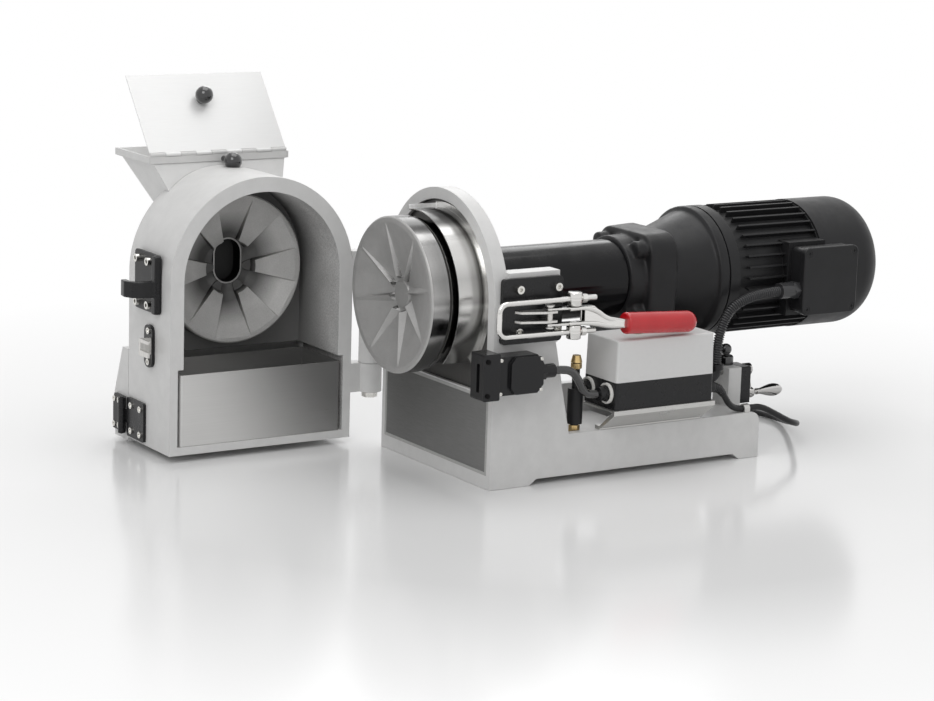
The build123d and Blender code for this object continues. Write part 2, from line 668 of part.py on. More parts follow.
POST_X = 114.0
POST_Y = 140.0
post_low = FOOT_H + CAST_WALL
with BuildPart() as support_post:
    with BuildSketch(Plane.XY.offset(post_low)):
        with Locations((POST_X, POST_Y)):
            Circle(5)
    extrude(amount=150 - post_low)
    with BuildSketch(Plane.XY.offset(70)):
        with Locations((POST_X, POST_Y)):
            Circle(10)
    extrude(amount=46)
keep(support_post, "support_post")

with BuildPart() as post_fittings:
    for low, height in ((post_low, 68.0 - post_low), (142.0, 7.0)):
        with BuildSketch(Plane.XY.offset(low)):
            with Locations((POST_X, POST_Y)):
                RegularPolygon(7.2, 6)
                Circle(5 + RUN_FIT, mode=Mode.SUBTRACT)
        extrude(amount=height)
    with BuildSketch(Plane.XY.offset(150.2)):
        with Locations((POST_X, POST_Y)):
            Circle(7.5)
    extrude(amount=9, taper=14)
keep(post_fittings, "post_fittings")

# ------------------------------------------------------------------ door: housing, hopper and discs
FLAP_H = 128.0
SPOUT_HALF = 26.0
door_outer = arch(body_half, DOOR_LOW)
door_open = arch(OPENING_HALF, POCKET_LOW)
fixed_face = door_x - FIXED_INSET
with BuildPart() as door_housing:
    with BuildSketch(door_plane(0)):
        add(door_outer)
    extrude(amount=-DOOR_T)
    with BuildSketch(door_plane(0)):
        add(door_open)
    extrude(amount=-DOOR_T + DOOR_BACK_WALL, mode=Mode.SUBTRACT)
    with BuildSketch(door_plane(0)):
        with Locations((0, (POCKET_LOW + POCKET_TOP) / 2)):
            Rectangle(2 * pocket_half, POCKET_TOP - POCKET_LOW)
    extrude(amount=-DOOR_T, mode=Mode.SUBTRACT)
    with BuildSketch(door_plane(DOOR_T - DOOR_BACK_WALL)):
        with Locations((0, AXIS_Z)):
            Circle(DISC_R - 6)
    extrude(amount=DOOR_T - DOOR_BACK_WALL - FIXED_INSET - FIXED_T)
    with BuildSketch(door_plane(FIXED_INSET)):
        with Locations((0, AXIS_Z + FEED_UP)):
            SlotOverall(FEED_H, FEED_W, rotation=90)
    extrude(amount=-DOOR_T, mode=Mode.SUBTRACT)
    for low, high in ((ARM_LOW, ARM_SPLIT), (ARM_HIGH, ARM_TOP)):
        with BuildSketch(Plane.XY.offset(low)):
            with Locations((HINGE_X, HINGE_Y)):
                Circle(HINGE_R)
            with BuildLine():
                Polyline((HINGE_X - HINGE_R, HINGE_Y), (HINGE_X - HINGE_R, door_y + body_half - 1),
                         (door_x, door_y + body_half - 1), (door_x, HINGE_Y), close=True)
            make_face()
            with Locations((HINGE_X, HINGE_Y)):
                Circle(HINGE_PIN_R + RUN_FIT, mode=Mode.SUBTRACT)
        extrude(amount=high - low)
keep(door_housing, "door_housing")

with BuildPart() as fixed_disc:
    with BuildSketch(front(door_y)):
        with BuildLine():
            Polyline((fixed_face, AXIS_Z + DISH_R), (fixed_face, AXIS_Z + DISC_R - 2),
                     (fixed_face - 2, AXIS_Z + DISC_R), (fixed_face - FIXED_T, AXIS_Z + DISC_R),
                     (fixed_face - FIXED_T, AXIS_Z), (fixed_face - FIXED_DISH, AXIS_Z),
                     (fixed_face - FIXED_DISH, AXIS_Z + FIXED_FLAT_R), close=True)
        make_face()
    revolve(axis=Axis((0, door_y, AXIS_Z), (1, 0, 0)))
    with BuildSketch(door_plane(FIXED_INSET)):
        with Locations((0, AXIS_Z + FEED_UP)):
            SlotOverall(FEED_H, FEED_W, rotation=90)
    extrude(amount=-FIXED_T, mode=Mode.SUBTRACT)
    # six scoops between the lands, deepest beside the slot
    for step in range(6):
        angle = math.radians(90 + 60 * step)
        out = Vector(0, math.cos(angle), math.sin(angle))
        across = Vector(0, -math.sin(angle), math.cos(angle))
        near_slot = Vector(fixed_face - FIXED_DISH - SCOOP_D + 5, door_y, AXIS_Z) + out * FIXED_FLAT_R
        near_rim = Vector(fixed_face + 4.4, door_y, AXIS_Z) + out * DISH_R
        with BuildSketch(Plane(origin=near_slot, x_dir=across, z_dir=out)):
            Rectangle(20, 10)
        with BuildSketch(Plane(origin=near_rim, x_dir=across, z_dir=out)):
            Rectangle(52, 10)
        loft(mode=Mode.SUBTRACT)
keep(fixed_disc, "fixed_disc")

CHUTE_FROM = FIXED_INSET + FIXED_DISH + 1.0
with BuildPart() as feed_chute:
    with BuildSketch(door_plane(CHUTE_FROM)):
        with Locations((0, AXIS_Z + FEED_UP)):
            SlotOverall(FEED_H - 0.2, FEED_W - 0.2, rotation=90)
            SlotOverall(FEED_H - 2 * CHUTE_T, FEED_W - 2 * CHUTE_T, rotation=90, mode=Mode.SUBTRACT)
    extrude(amount=CHUTE_FROM - DOOR_T)
keep(feed_chute, "feed_chute")

rim_far = RIM_NEAR - HOPPER_L
rim_mid = (RIM_NEAR + rim_far) / 2


def hopper_section(z, near, far, half, shrink):
    """Rectangle at height z between two depths, drawn in by a wall thickness."""
    with BuildSketch(Plane.XY.offset(z)) as section:
        with Locations(((near + far) / 2, door_y)):
            Rectangle(near - far - 2 * shrink, 2 * half - 2 * shrink)
    return section.sketch


neck_near = door_back + 34.0
neck_far = door_back - 36.0
spout_far = door_back - 28.0
with BuildPart() as hopper:
    add(hopper_section(RIM_Z, RIM_NEAR, rim_far, HOPPER_W / 2, 0))
    extrude(amount=-LIP_H)
    add(hopper_section(RIM_Z - LIP_H + 0.01, RIM_NEAR, rim_far + 6, HOPPER_W / 2 - 6, 0))
    add(hopper_section(NECK_Z, neck_near, neck_far, 70, 0))
    loft()
    add(hopper_section(NECK_Z, neck_near, neck_far, 70, 0))
    add(hopper_section(SPOUT_Z, neck_near, spout_far, SPOUT_HALF, 0))
    loft()
    with BuildSketch(door_plane(0)):
        add(door_outer)
    extrude(amount=-DOOR_T, mode=Mode.SUBTRACT)
    add(hopper_section(RIM_Z + 1, RIM_NEAR - 1.0, rim_far, HOPPER_W / 2, HOPPER_WALL), mode=Mode.ADD)
    add(hopper_section(NECK_Z, door_back + 1.0, neck_far, 70, HOPPER_WALL), mode=Mode.ADD)
    loft(mode=Mode.SUBTRACT)
    add(hopper_section(NECK_Z + 0.01, door_back + 1.0, neck_far, 70, HOPPER_WALL))
    add(hopper_section(SPOUT_Z + HOPPER_WALL, door_back + 4.0, spout_far, SPOUT_HALF, HOPPER_WALL))
    loft(mode=Mode.SUBTRACT)
keep(hopper, "hopper")

# lid, raised about the piano hinge at the near edge of the rim
lid_turn = math.radians(180 - LID_OPEN)
lid_pin = Vector(RIM_NEAR, door_y - 1.8, RIM_Z + LID_PIN_R + 1.2)
lid_frame = Plane(origin=lid_pin, x_dir=(0, 1, 0), z_dir=(math.sin(lid_turn), 0, -math.cos(lid_turn)))
KNUCKLE_R = 2.6
KNUCKLES = 9
knuckle_pitch = LID_W / KNUCKLES
lid_up = Vector(math.cos(lid_turn), 0, math.sin(lid_turn))
with BuildPart() as hopper_lid:
    with BuildSketch(lid_frame):
        with Locations((0, (LID_L + LID_PIN_R) / 2)):
            Rectangle(LID_W, LID_L - LID_PIN_R)
    extrude(amount=LID_T / 2, both=True)
    with BuildSketch(Plane(origin=lid_pin - Vector(0, LID_W / 2, 0), z_dir=(0, 1, 0))):
        Circle(KNUCKLE_R)
    extrude(amount=LID_W)
    for step in range(0, KNUCKLES, 2):
        with BuildSketch(Plane(origin=lid_pin + Vector(0, (step - KNUCKLES / 2) * knuckle_pitch - 0.2, 0),
                               z_dir=(0, 1, 0))):
            Circle(KNUCKLE_R + 0.5)
        extrude(amount=knuckle_pitch + 0.4, mode=Mode.SUBTRACT)
    with BuildSketch(Plane(origin=lid_pin - Vector(0, LID_W / 2 + 1, 0), z_dir=(0, 1, 0))):
        Circle(LID_PIN_R + RUN_FIT)
    extrude(amount=LID_W + 2, mode=Mode.SUBTRACT)
keep(hopper_lid, "hopper_lid")

with BuildPart() as lid_hinge_leaf:
    with Locations((RIM_NEAR + 0.75, door_y - 1.8, RIM_Z - LIP_H / 2 + 0.75)):
        Box(1.5, LID_W, LIP_H + 1.5)
    for step in range(0, KNUCKLES, 2):
        with BuildSketch(Plane(origin=lid_pin + Vector(0, (step - KNUCKLES / 2) * knuckle_pitch, 0),
                               z_dir=(0, 1, 0))):
            Circle(KNUCKLE_R)
        extrude(amount=knuckle_pitch)
    for step in range(1, KNUCKLES, 2):
        with BuildSketch(Plane(origin=lid_pin + Vector(0, (step - KNUCKLES / 2) * knuckle_pitch - 0.2, 0),
                               z_dir=(0, 1, 0))):
            Circle(KNUCKLE_R + 0.4)
        extrude(amount=knuckle_pitch + 0.4, mode=Mode.SUBTRACT)
    with BuildSketch(Plane(origin=lid_pin - Vector(0, LID_W / 2, 0), z_dir=(0, 1, 0))):
        Circle(LID_PIN_R)
    extrude(amount=LID_W)
keep(lid_hinge_leaf, "lid_hinge_leaf")

stop_knob = ball_knob((RIM_NEAR + 28, door_y + 5, RIM_Z - 6), (1, 0, 0), KNOB_R, 4.0, 30)
with BuildPart() as rest_knob:
    add(stop_knob.part)
    add(hopper.part, mode=Mode.SUBTRACT)
    add(lid_hinge_leaf.part, mode=Mode.SUBTRACT)
    add(door_housing.part, mode=Mode.SUBTRACT)
keep(rest_knob, "rest_knob")

lid_out = Vector(math.sin(lid_turn), 0, -math.cos(lid_turn))
knob_seat = lid_pin + lid_up * (LID_L * 0.665) + Vector(0, -2, 0)
knob_raw = ball_knob(tuple(knob_seat + lid_out * LID_STUD_L), tuple(lid_out), KNOB_R, 4.0, LID_STUD_L)
with BuildPart() as lid_knob:
    add(knob_raw.part)
    add(hopper_lid.part, mode=Mode.SUBTRACT)
keep(lid_knob, "lid_knob")

# flap over the vessel's front, hinged on the free side
FLAP_T = 3.0
FLAP_LOW = 5.0
FLAP_GAP = 1.0
FLAP_DEEP = 43.0
FLAP_TOP_DEEP = 18.0
FLAP_KNEE = 60.0
flap_x = door_back - FLAP_GAP
flap_pin = Vector(flap_x - 5.0, door_side - 7.0, 0)
FLAP_PIN_R = 2.5
with BuildPart() as front_flap:
    with BuildSketch(front(door_side)):
        with BuildLine():
            Polyline((flap_x, FLAP_LOW), (flap_x, FLAP_H), (flap_x - FLAP_TOP_DEEP, FLAP_H),
                     (flap_x - FLAP_DEEP, FLAP_KNEE), (flap_x - FLAP_DEEP + 4, FLAP_LOW), close=True)
        make_face()
    extrude(amount=-BODY_W + 1)
    with BuildSketch(front(door_side + FLAP_T)):
        with BuildLine():
            Polyline((flap_x + 1, FLAP_LOW + FLAP_T), (flap_x + 1, FLAP_H - FLAP_T),
                     (flap_x - FLAP_TOP_DEEP + FLAP_T * 0.7, FLAP_H - FLAP_T),
                     (flap_x - FLAP_DEEP + FLAP_T * 1.1, FLAP_KNEE),
                     (flap_x - FLAP_DEEP + 4 + FLAP_T, FLAP_LOW + FLAP_T), close=True)
        make_face()
    extrude(amount=-BODY_W + 1 + 2 * FLAP_T, mode=Mode.SUBTRACT)
keep(front_flap, "front_flap")

LEAF_T = 4.0
LEAF_END = flap_x - 38.0
LEAF_LOW = 15.0
LEAF_TOP = 63.0
flap_holes = [(x, z) for x in (LEAF_END + 6, LEAF_END + 20) for z in (LEAF_LOW + 7, LEAF_TOP - 7)]
with BuildPart() as flap_leaf:
    with BuildSketch(front(door_side)):
        with BuildLine():
            Polyline((LEAF_END, LEAF_LOW), (flap_pin.X - 6, LEAF_LOW), (flap_pin.X - 6, LEAF_TOP),
                     (LEAF_END + 4, LEAF_TOP), (LEAF_END, LEAF_TOP - 8), close=True)
        make_face()
    extrude(amount=LEAF_T)
    for low in (LEAF_LOW, LEAF_TOP - 16):
        with BuildSketch(Plane.XY.offset(low)):
            with Locations((flap_pin.X, flap_pin.Y)):
                Circle(5.0)
            with BuildLine():
                Polyline((flap_pin.X, flap_pin.Y - 2), (flap_pin.X - 8, door_side - LEAF_T),
                         (flap_pin.X - 8, door_side), (flap_pin.X - 2, door_side),
                         (flap_pin.X + 2, flap_pin.Y + 4), close=True)
            make_face()
            with Locations((flap_pin.X, flap_pin.Y)):
                Circle(FLAP_PIN_R + RUN_FIT, mode=Mode.SUBTRACT)
        extrude(amount=16)
    with BuildSketch(front(door_side)):
        with Locations(*flap_holes):
            Circle(2.5 + SCREW_FIT)
    extrude(amount=LEAF_T, mode=Mode.SUBTRACT)
keep(flap_leaf, "flap_leaf")

flap_screws = socket_screws(flap_holes, front(door_side - LEAF_T), 4.0, 2.2, 2.5, LEAF_T - 0.2)
keep(flap_screws, "flap_screws")

with BuildPart() as flap_hinge:
    with BuildSketch(front(door_side)):
        with Locations((door_back + 28, 39)):
            RectangleRounded(50, 52, 3)
    extrude(amount=4)
    with BuildSketch(Plane.XY.offset(31.3)):
        with Locations((flap_pin.X, flap_pin.Y)):
            Circle(5.0)
        with BuildLine():
            Polyline((flap_pin.X, flap_pin.Y + 3), (door_back + 6, door_side - 4), (door_back + 6, door_side),
                     (flap_pin.X + 6.5, door_side - 0.4), (flap_pin.X, flap_pin.Y + 4.9), close=True)
        make_face()
    extrude(amount=15.4)
    with BuildSketch(Plane.XY.offset(14.0)):
        with Locations((flap_pin.X, flap_pin.Y)):
            Circle(FLAP_PIN_R)
    extrude(amount=50)
    with BuildSketch(front(door_side)):
        with Locations(*[(door_back + x, z) for x in (17, 44) for z in (22, 56)]):
            Circle(2.5 + SCREW_FIT)
    extrude(amount=4, mode=Mode.SUBTRACT)
keep(flap_hinge, "flap_hinge")

# latch hook, interlock key and their screws on the door's free side
HOOK_Z = (190.0, 268.0)
HOOK_X = (-259.0, -187.5)
HOOK_T = 5.0
HOOK_ARM_Z = (214.0, 235.0)
hook_holes = [(x, z) for x in (-244.0, -211.0) for z in (200.5, 257.5)]
with BuildPart() as latch_hook:
    with BuildSketch(front(door_side)):
        with Locations((sum(HOOK_X) / 2, sum(HOOK_Z) / 2)):
            RectangleRounded(HOOK_X[1] - HOOK_X[0], HOOK_Z[1] - HOOK_Z[0], 6)
        with Locations(*hook_holes):
            Circle(SCREW_R + SCREW_FIT, mode=Mode.SUBTRACT)
    extrude(amount=HOOK_T)
    with BuildSketch(front(door_side - HOOK_T)):
        with Locations((HOOK_X[1] - 6, sum(HOOK_Z) / 2)):
            RectangleRounded(11, HOOK_Z[1] - HOOK_Z[0] - 2, 3)
    extrude(amount=5)
    with BuildSketch(Plane.XY.offset(HOOK_ARM_Z[0])):
        with BuildLine():
            Polyline((-188.5, door_side - HOOK_T), (-188.5, door_side - 26), (-196, door_side - 38),
                     (-208, door_side - 44), (-222, door_side - 42), (-222, door_side - 34),
                     (-209, door_side - 35), (-201, door_side - 31), (-198, door_side - 24),
                     (-198, door_side - HOOK_T), close=True)
        make_face()
    extrude(amount=HOOK_ARM_Z[1] - HOOK_ARM_Z[0])
keep(latch_hook, "latch_hook")

KEY_Z = (117.0, 173.0)
key_x = HINGE_X + (-17.0 - HINGE_Y)
KEY_OUT = sum(SLOT_X) / 2 - body_half
KEY_STEM_X = -210.0
KEY_TONGUE_T = 3.0
tongue_end = key_x - 7.0
key_holes = [(-217.0, 124.5), (-217.0, 165.5)]
with BuildPart() as interlock_key:
    with BuildSketch(front(door_side)):
        with Locations((-219.0, sum(KEY_Z) / 2)):
            RectangleRounded(24, KEY_Z[1] - KEY_Z[0], 10)
        with Locations(*key_holes):
            Circle(2.5 + SCREW_FIT, mode=Mode.SUBTRACT)
    extrude(amount=4)
    with BuildSketch(front(door_side - 4)):
        with Locations((KEY_STEM_X, 147)):
            Rectangle(3.5, 22)
    extrude(amount=KEY_OUT - 4 + KEY_TONGUE_T / 2)
    for low, high in ((136.0, 143.0), (153.5, 158.0)):
        with BuildSketch(Plane.XY.offset(low)):
            with Locations(((tongue_end + KEY_STEM_X) / 2, door_side - KEY_OUT)):
                Rectangle(tongue_end - KEY_STEM_X, KEY_TONGUE_T)
        extrude(amount=high - low)
keep(interlock_key, "interlock_key")

door_screws = socket_screws(hook_holes, front(door_side - HOOK_T), SCREW_HEAD_R, SCREW_HEAD_H,
                            SCREW_R, HOOK_T - 0.2)
small_screws = socket_screws(key_holes + [(door_back + x, z) for x in (17, 44) for z in (22, 56)],
                             front(door_side - 4), 4.4, 2.2, 2.5, 3.8)
with BuildPart() as side_screws:
    add(door_screws.part)
    add(small_screws.part)
keep(side_screws, "side_screws")

# collecting vessel in the pocket
vessel_low = POCKET_LOW + 0.3
with BuildPart() as vessel:
    with Locations((door_x - 1.0 - VESSEL_L / 2, door_y, vessel_low + VESSEL_H / 2)):
        Box(VESSEL_L, vessel_w, VESSEL_H)
    fillet(vessel.edges().filter_by(Axis.Z), 4)
    with Locations((door_x - 1.0 - VESSEL_L / 2, door_y, vessel_low + VESSEL_H / 2 + VESSEL_T)):
        Box(VESSEL_L - 2 * VESSEL_T, vessel_w - 2 * VESSEL_T, VESSEL_H, mode=Mode.SUBTRACT)
keep(vessel, "collecting_vessel")

# ------------------------------------------------------------------ turning disc and its shaft
GEAR_MODULE = 2.0
PINION_TEETH = 17
LAY_WHEEL_TEETH = 31
LAY_PINION_TEETH = 18
WHEEL_TEETH = 30
GEAR_W = 18.0
lay_offset = GEAR_MODULE * (PINION_TEETH + LAY_WHEEL_TEETH) / 2
GEARBOX_Y = TUBE_END
WHEEL_Y = 300.0
LAY_WHEEL_Y = 340.0


def gear_outline(teeth, centre, turn):
    """Toothed wheel with straight flanks and running play."""
    pitch_r = GEAR_MODULE * teeth / 2
    root = pitch_r - 1.25 * GEAR_MODULE
    tip = pitch_r + 0.8 * GEAR_MODULE
    with BuildSketch() as wheel:
        with Locations(centre):
            Circle(root)
        with BuildSketch(mode=Mode.PRIVATE) as tooth:
            with BuildLine():
                Polyline((root - 1, -0.52 * GEAR_MODULE * math.pi / 2), (pitch_r, -0.34 * GEAR_MODULE * math.pi / 2),
                         (tip, -0.16 * GEAR_MODULE * math.pi / 2), (tip, 0.16 * GEAR_MODULE * math.pi / 2),
                         (pitch_r, 0.34 * GEAR_MODULE * math.pi / 2),
                         (root - 1, 0.52 * GEAR_MODULE * math.pi / 2), close=True)
            make_face()
        for step in range(teeth):
            add(tooth.sketch.rotate(Axis.Z, turn + 360 * step / teeth).moved(Location((centre[0], centre[1], 0))))
    return wheel.sketch


RIDGES = ((23.0, -3.0, 8.0, RIDGE_H), (90.0, -1.6, 3.0, 0.5))
hub_face = ROTOR_DISH - ROTOR_FACE
with BuildPart() as grinding_rotor:
    with BuildSketch(side(0)):
        with BuildLine():
            Polyline((-ROTOR_FACE, AXIS_Z + DISH_R), (-ROTOR_FACE, AXIS_Z + DISC_R - 2),
                     (2 - ROTOR_FACE, AXIS_Z + DISC_R), (ROTOR_T - ROTOR_FACE, AXIS_Z + DISC_R),
                     (ROTOR_T - ROTOR_FACE, AXIS_Z), (hub_face - 2, AXIS_Z), (hub_face - 2, AXIS_Z + 16),
                     (hub_face - 0.5, AXIS_Z + 17.5), (hub_face, AXIS_Z + ROTOR_HUB_R), close=True)
        make_face()
    revolve(axis=Axis((0, 0, AXIS_Z), (0, 1, 0)))
    # ridges: radius, foot on the steep side, foot on the sloping side, height
    for step in range(RIDGE_COUNT):
        angle = math.radians(360 * step / RIDGE_COUNT + 12)
        out = Vector(math.cos(angle), 0, math.sin(angle))
        across = Vector(-math.sin(angle), 0, math.cos(angle))
        for radius, steep, slope, height in RIDGES:
            rise = ROTOR_DISH * (DISH_R - radius) / (DISH_R - ROTOR_HUB_R)
            with BuildSketch(Plane(origin=Vector(0, rise - ROTOR_FACE, AXIS_Z) + out * radius, x_dir=across,
                                   z_dir=out)):
                with BuildLine():
                    Polyline((steep, -1), (slope, -1), (0.6, height), (-0.6, height), close=True)
                make_face()
        loft(ruled=True)
keep(grinding_rotor, "grinding_rotor")

with BuildPart() as rotor_drum:
    for low, high, radius in ((ROTOR_FACE - ROTOR_T, DRUM_BACK, DRUM_R), (40.0, 35.0, 98.0)):
        with BuildSketch(front(-low)):
            with Locations((0, AXIS_Z)):
                Circle(radius)
                Circle(SHAFT_R, mode=Mode.SUBTRACT)
        extrude(amount=high - low)
keep(rotor_drum, "rotor_drum")

SHAFT_END = WHEEL_Y + GEAR_W + 4
with BuildPart() as main_shaft:
    with BuildSketch(front(-(ROTOR_FACE - ROTOR_T))):
        with Locations((0, AXIS_Z)):
            Circle(SHAFT_R)
    extrude(amount=-(ROTOR_FACE - ROTOR_T) - SHAFT_END)
    with BuildSketch(front(WHEEL_Y)):
        add(gear_outline(WHEEL_TEETH, (0, AXIS_Z), 0))
    extrude(amount=-GEAR_W)
keep(main_shaft, "main_shaft")

with BuildPart() as layshaft:
    with BuildSketch(front(WHEEL_Y - 1)):
        add(gear_outline(LAY_PINION_TEETH, (0, AXIS_Z - lay_offset), 90))
    extrude(amount=-GEAR_W - 2)
    with BuildSketch(front(LAY_WHEEL_Y - 1)):
        add(gear_outline(LAY_WHEEL_TEETH, (0, AXIS_Z - lay_offset), 90))
    extrude(amount=-GEAR_W - 2)
    with BuildSketch(front(GEARBOX_Y + 14)):
        with Locations((0, AXIS_Z - lay_offset)):
            Circle(9)
    extrude(amount=-(FLANGE_Y - GEARBOX_Y - 26))
keep(layshaft, "layshaft")

# ------------------------------------------------------------------ drive: tube, gearbox, motor
NOSE_Y = 2.0
tube_shoulder = PLATE_T + GAP_TRAVEL + 1
with BuildPart() as bearing_tube:
    with BuildSketch(front(NOSE_Y)):
        with Locations((0, AXIS_Z)):
            Circle(TUBE_R - TUBE_WALL - 0.4)
            Circle(TUBE_R - 2 * TUBE_WALL, mode=Mode.SUBTRACT)
    extrude(amount=NOSE_Y - tube_shoulder)
    with BuildSketch(front(tube_shoulder)):
        with Locations((0, AXIS_Z)):
            Circle(TUBE_R)
            Circle(TUBE_R - 2 * TUBE_WALL, mode=Mode.SUBTRACT)
    extrude(amount=tube_shoulder - TUBE_END)
keep(bearing_tube, "bearing_tube")

with BuildPart() as shaft_bearings:
    for y in (30.0, 230.0):
        with BuildSketch(front(y)):
            with Locations((0, AXIS_Z)):
                Circle(TUBE_R - 2 * TUBE_WALL)
                Circle(SHAFT_R + RUN_FIT, mode=Mode.SUBTRACT)
        extrude(amount=-20)
keep(shaft_bearings, "shaft_bearings")

GEARBOX_R = 62.0
LAY_R = 46.0
ADAPTER_Y = 350.0
ADAPTER_END = 388.0
CAVITY_R = 36.0
GEARBOX_WALL = 12.0
MOTOR_SHAFT_R = 12.0
LAY_SHAFT_R = 9.0
SPINDLE_R = 4.5
SPINDLE_X = 75.0
SPINDLE_Z = 107.0
LUG_R = 13.0
LUG_Y = 360.0
LUG_W = 18.0
BEARING_FIT = 0.05
lay_z = AXIS_Z - lay_offset
flange_end = FLANGE_Y + FLANGE_T
with BuildPart() as gearbox:
    with BuildSketch(front(GEARBOX_Y)):
        with Locations((0, AXIS_Z)):
            Circle(GEARBOX_R - 6)
        with Locations((0, lay_z)):
            Circle(LAY_R)
        with Locations((0, (AXIS_Z + lay_z) / 2)):
            Rectangle(2 * LAY_R, lay_offset)
    extrude(amount=GEARBOX_Y - ADAPTER_END)
    with BuildSketch(front(GEARBOX_Y + 26)):
        with Locations((0, AXIS_Z)):
            RectangleRounded(2 * GEARBOX_R, 2 * GEARBOX_R, 26)
    extrude(amount=-42, taper=-3)
    for turn in (45, 135, 225, 315):
        with BuildSketch(front(GEARBOX_Y + 10)):
            with Locations((GEARBOX_R * math.cos(math.radians(turn)) * 0.96,
                            AXIS_Z + GEARBOX_R * math.sin(math.radians(turn)) * 0.96)):
                Circle(12)
        extrude(amount=-52)
    with BuildSketch(front(ADAPTER_Y - 18)):
        with Locations((0, AXIS_Z)):
            Circle(GEARBOX_R)
    with BuildSketch(front(ADAPTER_END)):
        with Locations((0, AXIS_Z)):
            Circle(FLANGE_R - 6)
    loft()
    with BuildSketch(front(ADAPTER_END)):
        with Locations((0, AXIS_Z)):
            Circle(FLANGE_R)
    extrude(amount=ADAPTER_END - FLANGE_Y)
    with BuildSketch(front(LUG_Y)):
        with BuildLine():
            Polyline((10, lay_z - 38), (SPINDLE_X - 9, SPINDLE_Z - 9), (SPINDLE_X + 9, SPINDLE_Z + 9),
                     (40, lay_z - 8), close=True)
        make_face()
        with Locations((SPINDLE_X, SPINDLE_Z)):
            Circle(LUG_R)
    extrude(amount=-LUG_W)
    with BuildSketch(front(LUG_Y)):
        with Locations((SPINDLE_X, SPINDLE_Z)):
            Circle(SPINDLE_R + RUN_FIT)
    extrude(amount=-LUG_W, mode=Mode.SUBTRACT)
    with BuildSketch(front(GEARBOX_Y + GEARBOX_WALL)):
        with Locations((0, AXIS_Z), (0, lay_z)):
            Circle(CAVITY_R)
        with Locations((0, (AXIS_Z + lay_z) / 2)):
            Rectangle(2 * CAVITY_R, lay_offset)
    extrude(amount=-(ADAPTER_END - GEARBOX_Y - GEARBOX_WALL - 4), mode=Mode.SUBTRACT)
    with BuildSketch(front(GEARBOX_Y)):
        with Locations((0, AXIS_Z)):
            Circle(SHAFT_R + RUN_FIT)
    extrude(amount=-GEARBOX_WALL, mode=Mode.SUBTRACT)
    with BuildSketch(front(ADAPTER_END - 5)):
        with Locations((0, AXIS_Z)):
            Circle(MOTOR_SHAFT_R + RUN_FIT)
    extrude(amount=-FLANGE_T - 6, mode=Mode.SUBTRACT)
    with BuildSketch(front(GEARBOX_Y + 4)):
        with Locations((0, lay_z)):
            Circle(LAY_SHAFT_R + RUN_FIT)
    extrude(amount=-(ADAPTER_END - GEARBOX_Y + 4), mode=Mode.SUBTRACT)
keep(gearbox, "gearbox")

FIN_FROM = 436.0
FIN_TO = COWL_Y - 2
STATOR_Y = (462.0, 545.0)
STATOR_R = 50.4
SHELL_IN = 72.0
PAD_X = 90.0
COWL_T = 2.5
with BuildPart() as motor_housing:
    with BuildSketch(front(FLANGE_Y)):
        with Locations((0, AXIS_Z)):
            Circle(FLANGE_R)
    extrude(amount=-FLANGE_T)
    with BuildSketch(front(FLANGE_Y)):
        with Locations((0, AXIS_Z)):
            Circle(MOTOR_R)
    extrude(amount=FLANGE_Y - COWL_Y - 8)
    with BuildSketch(front(FIN_TO)):
        with Locations((0, AXIS_Z)):
            Circle(COWL_R - COWL_T - RUN_FIT)
    extrude(amount=FIN_TO - COWL_Y - 6)
    with BuildSketch(front(FIN_FROM)):
        with Locations((0, AXIS_Z)):
            Circle(MOTOR_R)
            with PolarLocations((MOTOR_R + FIN_R) / 2, FIN_COUNT):
                Rectangle(FIN_R - MOTOR_R + 2, FIN_T)
    extrude(amount=FIN_FROM - FIN_TO)
    with BuildSketch(side(PAD_X)):
        with Locations(((TERM_Y - 4 + FIN_TO) / 2, TERM_Z)):
            Rectangle(FIN_TO - TERM_Y + 4, TERM_H + 8)
    extrude(amount=MOTOR_R - PAD_X - 60)
    with BuildSketch(front(flange_end)):
        with Locations((0, AXIS_Z)):
            Circle(SHELL_IN)
    extrude(amount=flange_end - STATOR_Y[0], mode=Mode.SUBTRACT)
    with BuildSketch(front(STATOR_Y[0])):
        with Locations((0, AXIS_Z)):
            Circle(STATOR_R)
    extrude(amount=STATOR_Y[0] - STATOR_Y[1], mode=Mode.SUBTRACT)
    with BuildSketch(front(STATOR_Y[1])):
        with Locations((0, AXIS_Z)):
            Circle(SHELL_IN)
    extrude(amount=STATOR_Y[1] - COWL_Y + 12, mode=Mode.SUBTRACT)
    with BuildSketch(front(FLANGE_Y)):
        with Locations((0, AXIS_Z)):
            Circle(MOTOR_SHAFT_R + RUN_FIT)
    extrude(amount=FLANGE_Y - COWL_Y - 9, mode=Mode.SUBTRACT)
keep(motor_housing, "motor_housing")

with BuildPart() as fan_cowl:
    with BuildSketch(front(COWL_Y)):
        with Locations((0, AXIS_Z)):
            Circle(COWL_R)
    extrude(amount=COWL_Y - MOTOR_END)
    fillet(fan_cowl.faces().sort_by(Axis.Y)[-1].edges(), COWL_ROUND)
    with BuildSketch(front(COWL_Y - 1)):
        with Locations((0, AXIS_Z)):
            Circle(COWL_R - COWL_T)
    extrude(amount=COWL_Y - 1 - (MOTOR_END - COWL_ROUND), mode=Mode.SUBTRACT)
    with BuildSketch(front(MOTOR_END - COWL_ROUND - 1)):
        with Locations((0, AXIS_Z)):
            Circle(COWL_R - COWL_ROUND)
    extrude(amount=-(COWL_ROUND - COWL_T + 1), mode=Mode.SUBTRACT)
    with BuildSketch(front(MOTOR_END + 1)):
        for count, radius in ((12, 16), (20, 27), (28, 38)):
            with Locations((0, AXIS_Z)):
                with PolarLocations(radius, count):
                    Circle(2.9)
    extrude(amount=COWL_T + 2, mode=Mode.SUBTRACT)
keep(fan_cowl, "fan_cowl")

